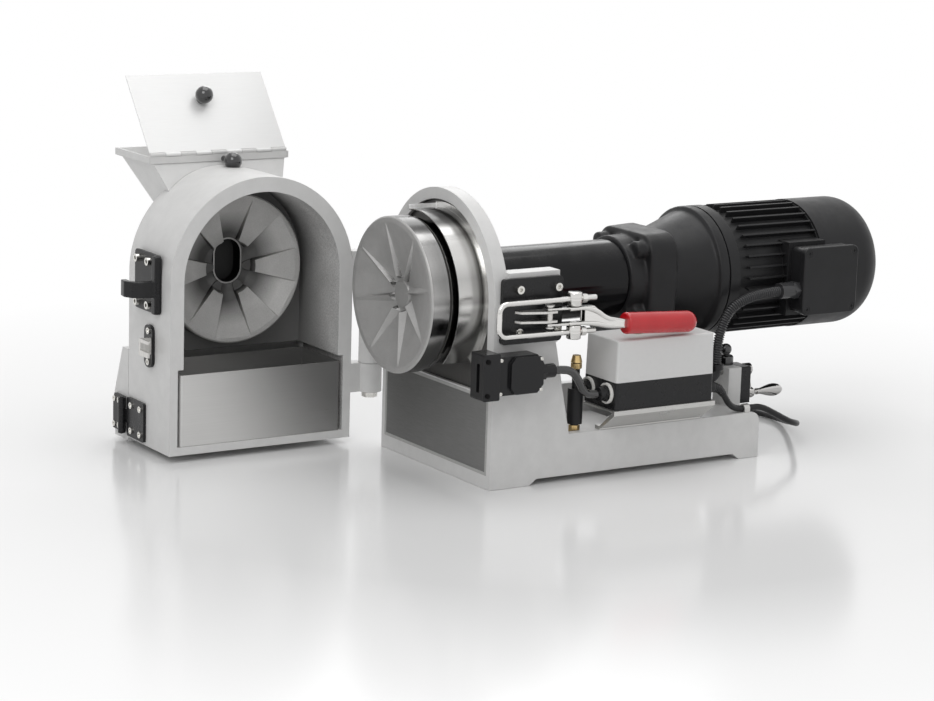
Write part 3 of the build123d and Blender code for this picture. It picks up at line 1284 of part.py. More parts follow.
LID_SEAM_X = 112.0
SCREWS_TERM = [(TERM_Y + y, TERM_Z + z) for y in (8, TERM_L - 8) for z in (TERM_H / 2 - 8, 8 - TERM_H / 2)]
with BuildPart() as terminal_box:
    with BuildSketch(side(PAD_X + 0.1)):
        with Locations((TERM_Y + TERM_L / 2, TERM_Z)):
            RectangleRounded(TERM_L - 4, TERM_H - 4, 6)
    extrude(amount=LID_SEAM_X - PAD_X)
    with BuildSketch(side(LID_SEAM_X)):
        with Locations((TERM_Y + TERM_L / 2, TERM_Z)):
            RectangleRounded(TERM_L, TERM_H, 9)
    extrude(amount=TERM_X - LID_SEAM_X)
    fillet(terminal_box.faces().sort_by(Axis.X)[-1].edges(), 2.0)
    with BuildSketch(side(LID_SEAM_X - 3)):
        with Locations((TERM_Y + TERM_L / 2, TERM_Z)):
            RectangleRounded(TERM_L - 18, TERM_H - 18, 5)
    extrude(amount=-(LID_SEAM_X - 3 - PAD_X - 3), mode=Mode.SUBTRACT)
    with BuildSketch(side(TERM_X)):
        with Locations(*SCREWS_TERM):
            Circle(4.6)
    extrude(amount=-2.2, mode=Mode.SUBTRACT)
    with BuildSketch(side(TERM_X)):
        with Locations(*SCREWS_TERM):
            Circle(2.5 + SCREW_FIT)
    extrude(amount=-8, mode=Mode.SUBTRACT)
keep(terminal_box, "terminal_box")

drive_screws = socket_screws(SCREWS_TERM, side(TERM_X - 2.2), 4.4, 2.0, 2.5, 5.5)
keep(drive_screws, "drive_screws")

CONDUIT_CREST = 6.9
CONDUIT_VALLEY = 5.6
CONDUIT_BORE = 4.6
CONDUIT_PITCH = 3.2
CONDUIT_TOP_Z = 217.0
CONDUIT_BEND = 68.0
CONNECTOR_L = 32.0
connector_end = TERM_Y + 2 - CONNECTOR_L
with BuildPart() as conduit_connector:
    with BuildSketch(front(TERM_Y + 2)):
        with Locations((CONDUIT_X - 4, CONDUIT_TOP_Z)):
            Circle(8)
    extrude(amount=6)
    with BuildSketch(front(TERM_Y - 0.2)):
        with Locations((CONDUIT_X, CONDUIT_TOP_Z)):
            RegularPolygon(12.5, 6)
    extrude(amount=9)
    with BuildSketch(front(TERM_Y - 9)):
        with Locations((CONDUIT_X, CONDUIT_TOP_Z)):
            Circle(11)
    extrude(amount=TERM_Y - 9 - connector_end)
    with BuildSketch(front(connector_end + 7)):
        with Locations((CONDUIT_X, CONDUIT_TOP_Z)):
            Circle(CONDUIT_CREST + 0.1)
    extrude(amount=8, mode=Mode.SUBTRACT)
    add(terminal_box.part, mode=Mode.SUBTRACT)
keep(conduit_connector, "conduit_connector")

conduit_top_y = connector_end + 6.5
conduit_bend_y = CONDUIT_END_Y + 1 + CONDUIT_BEND
conduit_low = 126.5
with BuildPart() as motor_conduit:
    with BuildLine(Plane.YZ.offset(CONDUIT_X)) as conduit_route:
        conduit_in = Line((conduit_top_y, CONDUIT_TOP_Z), (conduit_bend_y, CONDUIT_TOP_Z))
        conduit_arc = TangentArc(conduit_in @ 1, (conduit_bend_y - CONDUIT_BEND, CONDUIT_TOP_Z - CONDUIT_BEND),
                                 tangent=conduit_in % 1)
        Line(conduit_arc @ 1, (conduit_bend_y - CONDUIT_BEND, conduit_low))
    conduit_wire = conduit_route.wires()[0]
    conduit_l = conduit_wire.length
    ribs = int(conduit_l / CONDUIT_PITCH)
    rib = conduit_l / ribs
    for index in range(ribs):
        for share, radius in ((0.02, CONDUIT_VALLEY), (0.35, CONDUIT_VALLEY), (0.5, CONDUIT_CREST),
                              (0.85, CONDUIT_CREST)):
            at = (index + share) * rib / conduit_l
            with BuildSketch(Plane(origin=conduit_wire @ at, x_dir=(1, 0, 0), z_dir=conduit_wire % at)):
                Circle(radius)
    with BuildSketch(Plane(origin=conduit_wire @ 1, x_dir=(1, 0, 0), z_dir=conduit_wire % 1)):
        Circle(CONDUIT_VALLEY)
    loft(ruled=True)
    with BuildSketch(Plane(origin=conduit_wire @ 0, x_dir=(1, 0, 0), z_dir=conduit_wire % 0)):
        Circle(CONDUIT_BORE)
    sweep(path=conduit_wire, mode=Mode.SUBTRACT)
keep(motor_conduit, "motor_conduit")
print("conduit", ribs, "ribs,", round(conduit_l), "mm, volume", round(motor_conduit.part.volume))

ELBOW_Z = 108.0
ELBOW_R = 8.0
with BuildPart() as conduit_elbow:
    with BuildLine() as elbow_line:
        FilletPolyline((CONDUIT_X, box_back + 1, ELBOW_Z),
                       (CONDUIT_X, conduit_bend_y - CONDUIT_BEND, ELBOW_Z),
                       (CONDUIT_X, conduit_bend_y - CONDUIT_BEND, conduit_low - 0.3), radius=12)
    with BuildSketch(Plane(origin=elbow_line.line @ 0, z_dir=elbow_line.line % 0)):
        Circle(ELBOW_R)
    sweep()
    with BuildSketch(front(box_back + 0.3)):
        with Locations((CONDUIT_X, ELBOW_Z)):
            RegularPolygon(11.5, 6)
    extrude(amount=-8)
    with BuildSketch(Plane.XY.offset(conduit_low - 0.3)):
        with Locations((CONDUIT_X, conduit_bend_y - CONDUIT_BEND)):
            Circle(10.5)
    extrude(amount=-7)
keep(conduit_elbow, "conduit_elbow")

# motor rotor and fan
ROTOR_CORE_R = 49.8
FAN_R = 74.0
FAN_Y = COWL_Y + 22
FAN_W = 26.0
FAN_FIT = 0.1
with BuildPart() as motor_shaft:
    with BuildSketch(front(LAY_WHEEL_Y)):
        add(gear_outline(PINION_TEETH, (0, AXIS_Z), -90 + 180 / PINION_TEETH))
    extrude(amount=-GEAR_W)
    with BuildSketch(front(LAY_WHEEL_Y + GEAR_W - 1)):
        with Locations((0, AXIS_Z)):
            Circle(MOTOR_SHAFT_R)
    extrude(amount=LAY_WHEEL_Y + GEAR_W - 1 - FAN_Y - FAN_W - 4)
    with BuildSketch(front(STATOR_Y[0] + 4)):
        with Locations((0, AXIS_Z)):
            Circle(ROTOR_CORE_R)
    extrude(amount=STATOR_Y[0] - STATOR_Y[1] + 8)
keep(motor_shaft, "motor_shaft")

with BuildPart() as motor_fan:
    with BuildSketch(front(FAN_Y)):
        with Locations((0, AXIS_Z)):
            Circle(FAN_R)
    extrude(amount=-2.5)
    with BuildSketch(front(FAN_Y)):
        with Locations((0, AXIS_Z)):
            Circle(22)
            with PolarLocations(45, 8):
                Rectangle(52, 2.5)
    extrude(amount=-FAN_W)
    with BuildSketch(front(FAN_Y)):
        with Locations((0, AXIS_Z)):
            Circle(MOTOR_SHAFT_R + FAN_FIT)
    extrude(amount=-FAN_W, mode=Mode.SUBTRACT)
keep(motor_fan, "motor_fan")

# ------------------------------------------------------------------ gap setting at the rear of the base
BLOCK_Y = (BASE_L - 22.0, BASE_L - 1.1)
COUNTER_Y = (BASE_L - 1.0, BASE_L + 15.0)
BLOCK_TOP = 114.0
BLOCK_HALF = 17.0
CRANK_Y = BASE_L + 20.0
CRANK_BALL = (SPINDLE_X, CRANK_Y + 8, 74.0)
CRANK_BALL_R = 7.5
GRIP_Y = (CRANK_Y + 19, CRANK_Y + 64)
GRIP_PIN_R = 3.0
LOCK_Y = BASE_L - 8.0
LOCK_BALL = (SPINDLE_X, LOCK_Y - 8, 137.0)
LOCK_STUD_R = 3.5
with BuildPart() as spindle_block:
    with BuildSketch(front(BLOCK_Y[0])):
        with Locations((SPINDLE_X, (BASE_H + BLOCK_TOP) / 2)):
            Rectangle(2 * BLOCK_HALF, BLOCK_TOP - BASE_H)
    extrude(amount=BLOCK_Y[0] - BLOCK_Y[1])
    add(base_frame.part, mode=Mode.SUBTRACT)
    with BuildSketch(front(BLOCK_Y[0])):
        with Locations((SPINDLE_X, SPINDLE_Z)):
            Circle(SPINDLE_R + RUN_FIT)
    extrude(amount=BLOCK_Y[0] - BLOCK_Y[1], mode=Mode.SUBTRACT)
    with BuildSketch(Plane.XY.offset(BLOCK_TOP)):
        with Locations((SPINDLE_X - 9, LOCK_Y)):
            Circle(LOCK_STUD_R)
    extrude(amount=10)
keep(spindle_block, "spindle_block")

with BuildPart() as counter_block:
    with BuildSketch(front(COUNTER_Y[0])):
        with Locations((SPINDLE_X, (BASE_H + 2 + BLOCK_TOP) / 2)):
            RectangleRounded(2 * BLOCK_HALF, BLOCK_TOP - BASE_H - 2, 2)
    extrude(amount=COUNTER_Y[0] - COUNTER_Y[1])
    with BuildSketch(front(COUNTER_Y[0])):
        with Locations((SPINDLE_X, SPINDLE_Z)):
            Circle(SPINDLE_R + RUN_FIT)
    extrude(amount=COUNTER_Y[0] - COUNTER_Y[1], mode=Mode.SUBTRACT)
    with BuildSketch(front(COUNTER_Y[1])):
        with Locations((SPINDLE_X, 84)):
            Rectangle(18, 10)
    extrude(amount=-2, mode=Mode.SUBTRACT)
keep(counter_block, "counter_block")

crank_out = Vector(0, CRANK_BALL[1] - CRANK_Y, CRANK_BALL[2] - SPINDLE_Z)
with BuildPart() as gap_crank:
    with BuildSketch(front(LUG_Y - 6)):
        with Locations((SPINDLE_X, SPINDLE_Z)):
            Circle(SPINDLE_R)
    extrude(amount=LUG_Y - 6 - CRANK_Y - 5)
    with BuildSketch(front(COUNTER_Y[1] + 0.4)):
        with Locations((SPINDLE_X, SPINDLE_Z)):
            Circle(8)
    extrude(amount=-9.6)
    with BuildSketch(Plane(origin=(SPINDLE_X, CRANK_Y, SPINDLE_Z), z_dir=crank_out)):
        Circle(4.2)
    extrude(amount=crank_out.length, taper=2)
    with Locations(CRANK_BALL):
        Sphere(CRANK_BALL_R)
    with BuildSketch(front(CRANK_BALL[1])):
        with Locations((CRANK_BALL[0], CRANK_BALL[2])):
            Circle(GRIP_PIN_R)
    extrude(amount=-(GRIP_Y[1] - 6 - CRANK_BALL[1]))
keep(gap_crank, "gap_crank")

with BuildPart() as crank_grip:
    with BuildSketch(Plane(origin=(CRANK_BALL[0], 0, CRANK_BALL[2]), x_dir=(0, 1, 0), z_dir=(1, 0, 0))):
        with BuildLine():
            Polyline((GRIP_Y[0], 0), (GRIP_Y[0], 4.4), (GRIP_Y[0] + 6, 4.0))
            Spline((GRIP_Y[0] + 6, 4.0), (GRIP_Y[0] + 20, 7.6), (GRIP_Y[0] + 30, 8.6), (GRIP_Y[1] - 4, 5.0),
                   (GRIP_Y[1], 0.0))
            Line((GRIP_Y[1], 0), (GRIP_Y[0], 0))
        make_face()
    revolve(axis=Axis((CRANK_BALL[0], 0, CRANK_BALL[2]), (0, 1, 0)))
    with BuildSketch(front(GRIP_Y[0])):
        with Locations((CRANK_BALL[0], CRANK_BALL[2])):
            Circle(GRIP_PIN_R + RUN_FIT)
    extrude(amount=-(GRIP_Y[1] - GRIP_Y[0] - 5), mode=Mode.SUBTRACT)
keep(crank_grip, "crank_grip")

lock_pin = Vector(SPINDLE_X - 9, LOCK_Y, BLOCK_TOP + 0.4)
with BuildPart() as lock_lever:
    with BuildSketch(Plane(origin=lock_pin)):
        Circle(10)
    extrude(amount=13)
    fillet(lock_lever.edges().filter_by(GeomType.CIRCLE).sort_by(Axis.Z)[-1], 4)
    with BuildSketch(Plane(origin=lock_pin + Vector(0, 0, 7), z_dir=Vector(LOCK_BALL) - lock_pin)):
        Circle(4)
    extrude(amount=(Vector(LOCK_BALL) - lock_pin - Vector(0, 0, 7)).length)
    with Locations(LOCK_BALL):
        Sphere(7.8)
    with BuildSketch(Plane(origin=lock_pin)):
        Circle(LOCK_STUD_R + RUN_FIT)
    extrude(amount=10, mode=Mode.SUBTRACT)
keep(lock_lever, "lock_lever")

# ------------------------------------------------------------------ mains lead, cord, coil and plug
CLIP_Y = BASE_L - 19.0
LEAD_END = (126.0, BASE_L - 13.0, BASE_H + CORD_R + 0.4)
lead_turn = box_back + 24.5
lead_run = LEAD_END[1] - lead_turn
lead_points = [(MAINS_X, box_back - 2, MAINS_Z), (MAINS_X, lead_turn, MAINS_Z),
               (132, lead_turn + 0.238 * lead_run, 91), (129, lead_turn + 0.429 * lead_run, 75),
               (126, lead_turn + 0.683 * lead_run, LEAD_END[2]), LEAD_END]
lead_radii = route_radii(lead_points)
mains_lead, lead_line = tube(lead_points, lead_radii, CORD_R)
keep(mains_lead, "mains_lead")

with BuildPart() as cable_clip:
    with BuildSketch(front(CLIP_Y - 5)):
        with Locations((LEAD_END[0], LEAD_END[2])):
            Circle(CORD_R + 2)
        with Locations((LEAD_END[0], BASE_H + CORD_R / 2 + 0.1)):
            Rectangle(2 * CORD_R + 4, CORD_R)
        with Locations((LEAD_END[0] - 9, BASE_H + 1.1)):
            Rectangle(14, 2)
        with Locations((LEAD_END[0], LEAD_END[2])):
            Circle(CORD_R + 0.05, mode=Mode.SUBTRACT)
    extrude(amount=-9)
    add(base_frame.part, mode=Mode.SUBTRACT)
keep(cable_clip, "cable_clip")

LOOPS_IN = 2
LOOPS_OUT = 1.75
COIL_PITCH = 10.4
COIL_RISE = 9.1
COIL_OUTER = 56.0
COIL_CENTRE = Vector(-175.0, BASE_L + 53, CORD_R + 0.15)
COIL_FROM = 100.0
COIL_LEAD = 2 * CORD_R + 0.5
coil_inner = COIL_OUTER - COIL_PITCH * LOOPS_IN
climb_from = COIL_FROM + 360 * LOOPS_IN
climb_to = climb_from + 180
coil_to = climb_to + 360 * LOOPS_OUT


def coil_point(angle):
    """Point and unit tangent of the coil's mid line at a running angle in degrees."""
    if angle <= climb_from:
        radius, slope, height, rise = COIL_OUTER - COIL_PITCH * (angle - COIL_FROM) / 360, -COIL_PITCH, 0.0, 0.0
    elif angle < climb_to:
        share = (angle - climb_from) / 180
        radius, slope, height, rise = coil_inner, 0.0, COIL_RISE * share, 2 * COIL_RISE
    else:
        radius, slope, height, rise = coil_inner + COIL_PITCH * (angle - climb_to) / 360, COIL_PITCH, COIL_RISE, 0.0
    turn = math.radians(angle)
    out = Vector(math.cos(turn), math.sin(turn), 0)
    along = Vector(-math.sin(turn), math.cos(turn), 0)
    tangent = out * (slope / (2 * math.pi)) + along * radius + Vector(0, 0, rise / (2 * math.pi))
    return COIL_CENTRE + out * radius + Vector(0, 0, height), tangent.normalized()


def biarc(start, end):
    """Two tangent arcs between two points with given directions."""
    (p0, t0), (p1, t1) = start, end
    v = p1 - p0
    b = v.dot(t0 + t1)
    a = 2 * (t0.dot(t1) - 1)
    d = (2 * b - math.sqrt(4 * b * b - 4 * a * v.dot(v))) / (2 * a)
    q0, q1 = p0 + t0 * d, p1 - t1 * d
    middle = (q0 + q1) / 2
    TangentArc(p0, middle, tangent=t0)
    TangentArc(middle, p1, tangent=q1 - q0)


coil_stops = [COIL_FROM + 90 * step for step in range(int((coil_to - COIL_FROM) / 90) + 1)]
coil_marks = [coil_point(angle) for angle in coil_stops]
coil_start = coil_marks[0][0] - coil_marks[0][1] * COIL_LEAD
coil_end = coil_marks[-1][0] + coil_marks[-1][1] * COIL_LEAD
with BuildPart() as mains_coil:
    with BuildLine() as coil_route:
        Line(coil_start, coil_marks[0][0])
        for first, second in zip(coil_marks, coil_marks[1:]):
            biarc(first, second)
        Line(coil_marks[-1][0], coil_end)
    with BuildSketch(Plane(origin=coil_start, z_dir=coil_marks[0][1])):
        Circle(CORD_R)
    sweep()
keep(mains_coil, "mains_coil")

join = tuple(coil_start)
join_from = tuple(coil_start - coil_marks[0][1] * 34)
cord_points = [LEAD_END, (126, BASE_L + 8, LEAD_END[2]), (126.5, BASE_L + 33, 54), (126, BASE_L + 59, 40.5),
               (117, BASE_L + 79, 34.5), (90, BASE_L + 100, 27), (55, BASE_L + 122, 19),
               (18, BASE_L + 143, 10), (-20, BASE_L + 159, COIL_CENTRE.Z), (-62, BASE_L + 157, COIL_CENTRE.Z),
               (-102, BASE_L + 141, COIL_CENTRE.Z), join_from, join]
cord_radii = route_radii(cord_points)
mains_cord, cord_line = tube(cord_points, cord_radii, CORD_R)
keep(mains_cord, "mains_cord")

PLUG_R = 18.0
PLUG_L = 42.0
RELIEF_L = 26.0
PLUG_PIN_R = 2.4
PLUG_PIN_L = 19.0
PLUG_PIN_AT = 9.5
plug_points = [tuple(coil_end), tuple(coil_end + coil_marks[-1][1] * 26),
               tuple(coil_end + coil_marks[-1][1] * 54 + Vector(-4, 0, PLUG_R + 0.2 - COIL_CENTRE.Z - COIL_RISE)),
               tuple(coil_end + coil_marks[-1][1] * 80 + Vector(-8, 0, PLUG_R + 0.2 - COIL_CENTRE.Z - COIL_RISE))]
plug_radii = route_radii(plug_points)
plug_at = Vector(plug_points[-1])
plug_dir = (Vector(plug_points[-1]) - Vector(plug_points[-2])).normalized()
plug_plane = Plane(origin=plug_at - plug_dir * 0.5, x_dir=plug_dir.cross(Vector(0, 0, 1)), z_dir=plug_dir)
with BuildPart() as mains_plug:
    with BuildLine() as plug_route:
        FilletPolyline(*plug_points, radius=plug_radii)
    with BuildSketch(Plane(origin=plug_points[0], z_dir=plug_route.line % 0)):
        Circle(CORD_R)
    sweep()
    with BuildSketch(plug_plane):
        Circle(CORD_R + 1.2)
    extrude(amount=RELIEF_L, taper=-4)
    with BuildSketch(plug_plane.offset(RELIEF_L - 4)):
        Circle(PLUG_R - 6)
    with BuildSketch(plug_plane.offset(RELIEF_L + 8)):
        Circle(PLUG_R)
    loft()
    with BuildSketch(plug_plane.offset(RELIEF_L + 8)):
        Circle(PLUG_R)
    extrude(amount=PLUG_L - 12)
    with BuildSketch(plug_plane.offset(RELIEF_L + PLUG_L - 4)):
        with Locations((PLUG_PIN_AT, 0), (-PLUG_PIN_AT, 0)):
            Circle(PLUG_PIN_R)
    extrude(amount=PLUG_PIN_L)
keep(mains_plug, "mains_plug")

for name, radii in (("switch cable", switch_cable_radii), ("lead", lead_radii), ("cord", cord_radii),
                    ("plug end", plug_radii)):
    print(name, "radii", [round(radius, 1) for radius in radii])
for name, cable, line, radius in (("switch cable", switch_cable, switch_cable_line, SWITCH_CABLE_R),
                                  ("lead", mains_lead, lead_line, CORD_R), ("cord", mains_cord, cord_line, CORD_R),
                                  ("coil", mains_coil, coil_route.wires()[0], CORD_R)):
    print(name, "length", round(line.length, 1), "volume ratio",
          round(cable.part.volume / (math.pi * radius ** 2 * line.length), 4))
coil_wire = coil_route.wires()[0]
coil_samples = int(coil_wire.length / 3)
coil_dots = [coil_wire @ (index / coil_samples) for index in range(coil_samples + 1)]
least = min((a - b).length for i, a in enumerate(coil_dots) for b in coil_dots[i + 12:])
print("least gap between the coil's turns", round(least - 2 * CORD_R, 2))

os.makedirs("parts", exist_ok=True)
for node in nodes:
    export_step(node, f"parts/{node.label}.step")
print(len(nodes), "nodes")
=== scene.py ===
import logging
import math
from dataclasses import dataclass, replace
from enum import Enum
from typing import Callable, Sequence

import bpy
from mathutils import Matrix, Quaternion, Vector


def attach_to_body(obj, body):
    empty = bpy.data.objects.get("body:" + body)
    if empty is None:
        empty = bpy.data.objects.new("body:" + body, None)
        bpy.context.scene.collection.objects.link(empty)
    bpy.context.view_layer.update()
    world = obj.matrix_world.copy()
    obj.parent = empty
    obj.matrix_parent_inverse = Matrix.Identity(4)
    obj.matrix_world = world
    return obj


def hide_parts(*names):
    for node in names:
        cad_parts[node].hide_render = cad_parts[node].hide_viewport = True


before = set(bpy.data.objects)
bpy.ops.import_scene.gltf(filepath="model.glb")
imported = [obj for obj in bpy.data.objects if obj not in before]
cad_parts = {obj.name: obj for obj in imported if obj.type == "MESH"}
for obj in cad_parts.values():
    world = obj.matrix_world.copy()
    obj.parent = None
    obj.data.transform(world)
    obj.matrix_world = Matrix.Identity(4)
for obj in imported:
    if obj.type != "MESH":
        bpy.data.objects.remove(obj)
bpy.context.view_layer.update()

LOG = logging.getLogger("disc_mill")
MM = 0.001
Point = tuple[float, float, float]
Colour = tuple[float, float, float]
Socket = bpy.types.NodeSocket


def metres(point: Sequence[float]) -> Vector:
    """Turn a point in millimetres into a vector in metres.

    Args:
        point: x, y and z in the row frame, in millimetres.

    Returns:
        The same point in metres.
    """
    return Vector(point) * MM


# ---------------------------------------------------------------- node graphs
class Graph:
    """Short way to write a shader node tree."""

    def __init__(self, tree: bpy.types.NodeTree) -> None:
        """Work on a node tree."""
        self.tree = tree

    def node(self, kind: str, inputs: dict | None = None, **settings: object) -> bpy.types.Node:
        """Add one node.

        Args:
            kind: Blender's name of the node type.
            inputs: values or sockets for its inputs, by name or number.
            settings: other attributes of the node.

        Returns:
            The new node.
        """
        made = self.tree.nodes.new(kind)
        for key, value in settings.items():
            setattr(made, key, value)
        for key, value in (inputs or {}).items():
            if isinstance(value, Socket):
                self.tree.links.new(value, made.inputs[key])
            else:
                made.inputs[key].default_value = value
        return made

    def sum(self, operation: str, first: object, second: object = 0.0, clamp: bool = False) -> Socket:
        """Put two numbers through a Math node and give back its result."""
        made = self.node("ShaderNodeMath", {0: first, 1: second}, operation=operation, use_clamp=clamp)
        return made.outputs[0]

    def vector(self, operation: str, first: object, second: object = (0, 0, 0)) -> bpy.types.Node:
        """Put two vectors through a Vector Math node and give back the node."""
        return self.node("ShaderNodeVectorMath", {0: first, 1: second}, operation=operation)

    def dot(self, first: object, second: object) -> Socket:
        """Multiply two vectors into a number."""
        return self.vector("DOT_PRODUCT", first, second).outputs["Value"]

    def parts(self, vector: Socket) -> bpy.types.NodeOutputs:
        """Split a vector into x, y and z."""
        return self.node("ShaderNodeSeparateXYZ", {0: vector}).outputs

    def away(self, point: object, centre: object, axis: object) -> Socket:
        """Measure how far a point is from an axis.

        Args:
            point: the point.
            centre: a point on the axis.
            axis: its direction, of length 1.

        Returns:
            The distance.
        """
        arm = self.vector("SUBTRACT", point, centre).outputs[0]
        return self.vector("LENGTH", self.vector("CROSS_PRODUCT", arm, axis).outputs[0]).outputs["Value"]

    def span(self, value: Socket, low: float, high: float, to_low: float = 0.0,
             to_high: float = 1.0) -> Socket:
        """Stretch a range of a value to another range, held at its ends.

        Args:
            value: the number that varies.
            low: where the range starts.
            high: where the range ends.
            to_low: the result at its start.
            to_high: the result at its end.

        Returns:
            The stretched value.
        """
        made = self.node("ShaderNodeMapRange", {0: value, 1: low, 2: high, 3: to_low, 4: to_high})
        return made.outputs[0]

    def blend(self, share: object, first: object, second: object) -> Socket:
        """Mix two colours; a share of 0 gives the first.

        Args:
            share: how much of the second colour shows.
            first: one colour or its socket.
            second: the other.

        Returns:
            The mixed colour.
        """
        made = self.node("ShaderNodeMix", data_type="RGBA")
        for key, value in ((0, share), (6, first), (7, second)):
            if isinstance(value, Socket):
                self.tree.links.new(value, made.inputs[key])
            else:
                made.inputs[key].default_value = value if key == 0 else (*value, 1.0)
        return made.outputs[2]

    def even(self, share: object, first: object, second: object) -> Socket:
        """Mix two numbers; a share of 0 gives the first."""
        made = self.node("ShaderNodeMix", {0: share, 2: first, 3: second}, data_type="FLOAT")
        return made.outputs[0]

    def noise(self, coords: Socket, scale: float | Socket, detail: float = 3.0, rough: float = 0.5) -> Socket:
        """Add a noise texture and give back its value."""
        return self.node("ShaderNodeTexNoise", {
            "Vector": coords, "Scale": scale, "Detail": detail, "Roughness": rough}).outputs[0]


class Effect(Enum):
    """Effects that several finishes share, each one a node group."""

    EDGES = "edges"
    GRAIN = "cast_grain"
    BRUSHED = "brushed"
    TURNED = "turned"
    HANDLING = "handling"
    DUST = "dust"
    # painted reflection bands, laid by the direction of the surface
    PAINTED_REFLECTION = "bands"


# Place and darkness of each stop of the painted reflection on polished steel: 0 faces away from its
# direction, 1 faces along it.
PAINTED_REFLECTION_BANDS = (
    (0.0, 0.60), (0.15, 0.45), (0.27, 0.36), (0.38, 0.18), (0.47, 0.30), (0.495, 0.04), (0.52, 0.42),
    (0.57, 0.20), (0.66, 0.34), (0.73, 0.10), (0.77, 0.0), (0.86, 0.0), (0.89, 0.40), (0.925, 0.08),
    (0.95, 0.80), (0.98, 1.0))


class Effects:
    """Shader node groups, each built once."""

    def __init__(self) -> None:
        """Start with no group built."""
        self.built: dict[Effect, bpy.types.NodeTree] = {}

    def start(self, effect: Effect, takes: dict[str, str],
              gives: dict[str, str]) -> tuple[Graph, Callable, Callable]:
        """Open a new group with its sockets.

        Args:
            effect: which effect it is.
            takes: input names and their socket kinds.
            gives: output names and their socket kinds.

        Returns:
            The graph, a reader of its inputs by name and a writer of its outputs by name.
        """
        tree = bpy.data.node_groups.new(effect.value, "ShaderNodeTree")
        for direction, sockets in (("INPUT", takes), ("OUTPUT", gives)):
            for name, kind in sockets.items():
                tree.interface.new_socket(name=name, in_out=direction, socket_type="NodeSocket" + kind)
        graph = Graph(tree)
        source = graph.node("NodeGroupInput")
        target = graph.node("NodeGroupOutput")
        self.built[effect] = tree
        return graph, source.outputs.get, lambda name, socket: tree.links.new(socket, target.inputs[name])

    def edges(self) -> None:
        """Build the group that finds edges and rounds their shading."""
        graph, take, give = self.start(
            Effect.EDGES, {"Width": "Float", "Break": "Float"}, {"Mask": "Float", "Rounded": "Vector"})
        rounded = graph.node("ShaderNodeBevel", {"Radius": take("Width")}, samples=6).outputs[0]
        face = graph.node("ShaderNodeNewGeometry").outputs["Normal"]
        turn = graph.sum("SUBTRACT", 1.0, graph.dot(rounded, face))
        coords = graph.node("ShaderNodeTexCoord").outputs["Object"]
        patch = graph.span(graph.noise(coords, take("Break"), 4.0, 0.65), 0.42, 0.62)
        give("Mask", graph.sum("MULTIPLY", graph.span(turn, 0.03, 0.22), patch, clamp=True))
        give("Rounded", rounded)

    def grain(self) -> None:
        """Build the group for the skin of a painted or raw casting."""
        graph, take, give = self.start(
            Effect.GRAIN, {"Vector": "Vector", "Scale": "Float"}, {"Height": "Float", "Mottle": "Float"})
        fine = graph.noise(take("Vector"), take("Scale"), 3.0, 0.6)
        broad = graph.noise(take("Vector"), graph.sum("MULTIPLY", take("Scale"), 0.06), 3.0, 0.55)
        give("Height", graph.even(0.35, fine, broad))
        give("Mottle", graph.span(broad, 0.3, 0.7))

    def brushed(self) -> None:
        """Build the group for fine parallel lines left by a belt or a mill."""
        graph, take, give = self.start(
            Effect.BRUSHED, {"Vector": "Vector", "Stretch": "Vector"}, {"Streak": "Float", "Height": "Float"})
        drawn = graph.vector("MULTIPLY", take("Vector"), take("Stretch")).outputs[0]
        fine = graph.noise(drawn, 1.0, 5.0, 0.7)
        cloud = graph.noise(take("Vector"), 22.0, 2.0)
        give("Streak", graph.span(graph.even(0.1, fine, cloud), 0.3, 0.7))
        give("Height", fine)

    def turned(self) -> None:
        """Build the group for the rings that a lathe leaves round an axis."""
        graph, take, give = self.start(
            Effect.TURNED, {"Vector": "Vector", "Centre": "Vector", "Axis": "Vector", "Pitch": "Float"},
            {"Ring": "Float", "Height": "Float"})
        turns = graph.sum("DIVIDE", graph.away(take("Vector"), take("Centre"), take("Axis")), take("Pitch"))
        ring = graph.node("ShaderNodeTexNoise", {"W": turns, "Scale": 1.0, "Detail": 2.0},
                          noise_dimensions="1D")
        cloud = graph.noise(take("Vector"), 30.0, 3.0)
        give("Ring", graph.span(graph.even(0.45, ring.outputs[0], cloud), 0.3, 0.7))
        give("Height", ring.outputs[0])

    def handling(self) -> None:
        """Build the group for fingermarks from use."""
        graph, take, give = self.start(
            Effect.HANDLING, {"Vector": "Vector", "Scale": "Float"}, {"Smear": "Float"})
        smear = graph.noise(take("Vector"), take("Scale"), 4.0, 0.6)
        give("Smear", graph.span(smear, 0.35, 0.65))

    def dust(self) -> None:
        """Build the group for the fine dust that settles on faces that look up."""
        graph, take, give = self.start(Effect.DUST, {"Vector": "Vector"}, {"Mask": "Float"})
        up = graph.parts(graph.node("ShaderNodeNewGeometry").outputs["Normal"])[2]
        patch = graph.span(graph.noise(take("Vector"), 45.0, 5.0, 0.65), 0.35, 0.75)
        give("Mask", graph.sum("MULTIPLY", graph.span(up, 0.55, 1.0), patch, clamp=True))

    def bands(self) -> None:
        """Build the group for painted reflection: dark and light bands such as a room leaves on polished
        round steel.
        """
        graph, take, give = self.start(Effect.PAINTED_REFLECTION, {"Direction": "Vector"}, {"Shade": "Float"})
        face = graph.node("ShaderNodeTexCoord").outputs["Normal"]
        along = graph.span(graph.dot(face, take("Direction")), -1.0, 1.0)
        ramp = graph.node("ShaderNodeValToRGB", {0: along})
        for number, (spot, shade) in enumerate(PAINTED_REFLECTION_BANDS):
            held = ramp.color_ramp.elements
            mark = held[number] if number < len(held) else held.new(spot)
            mark.position, mark.color = spot, (shade, shade, shade, 1.0)
        give("Shade", ramp.outputs[0])

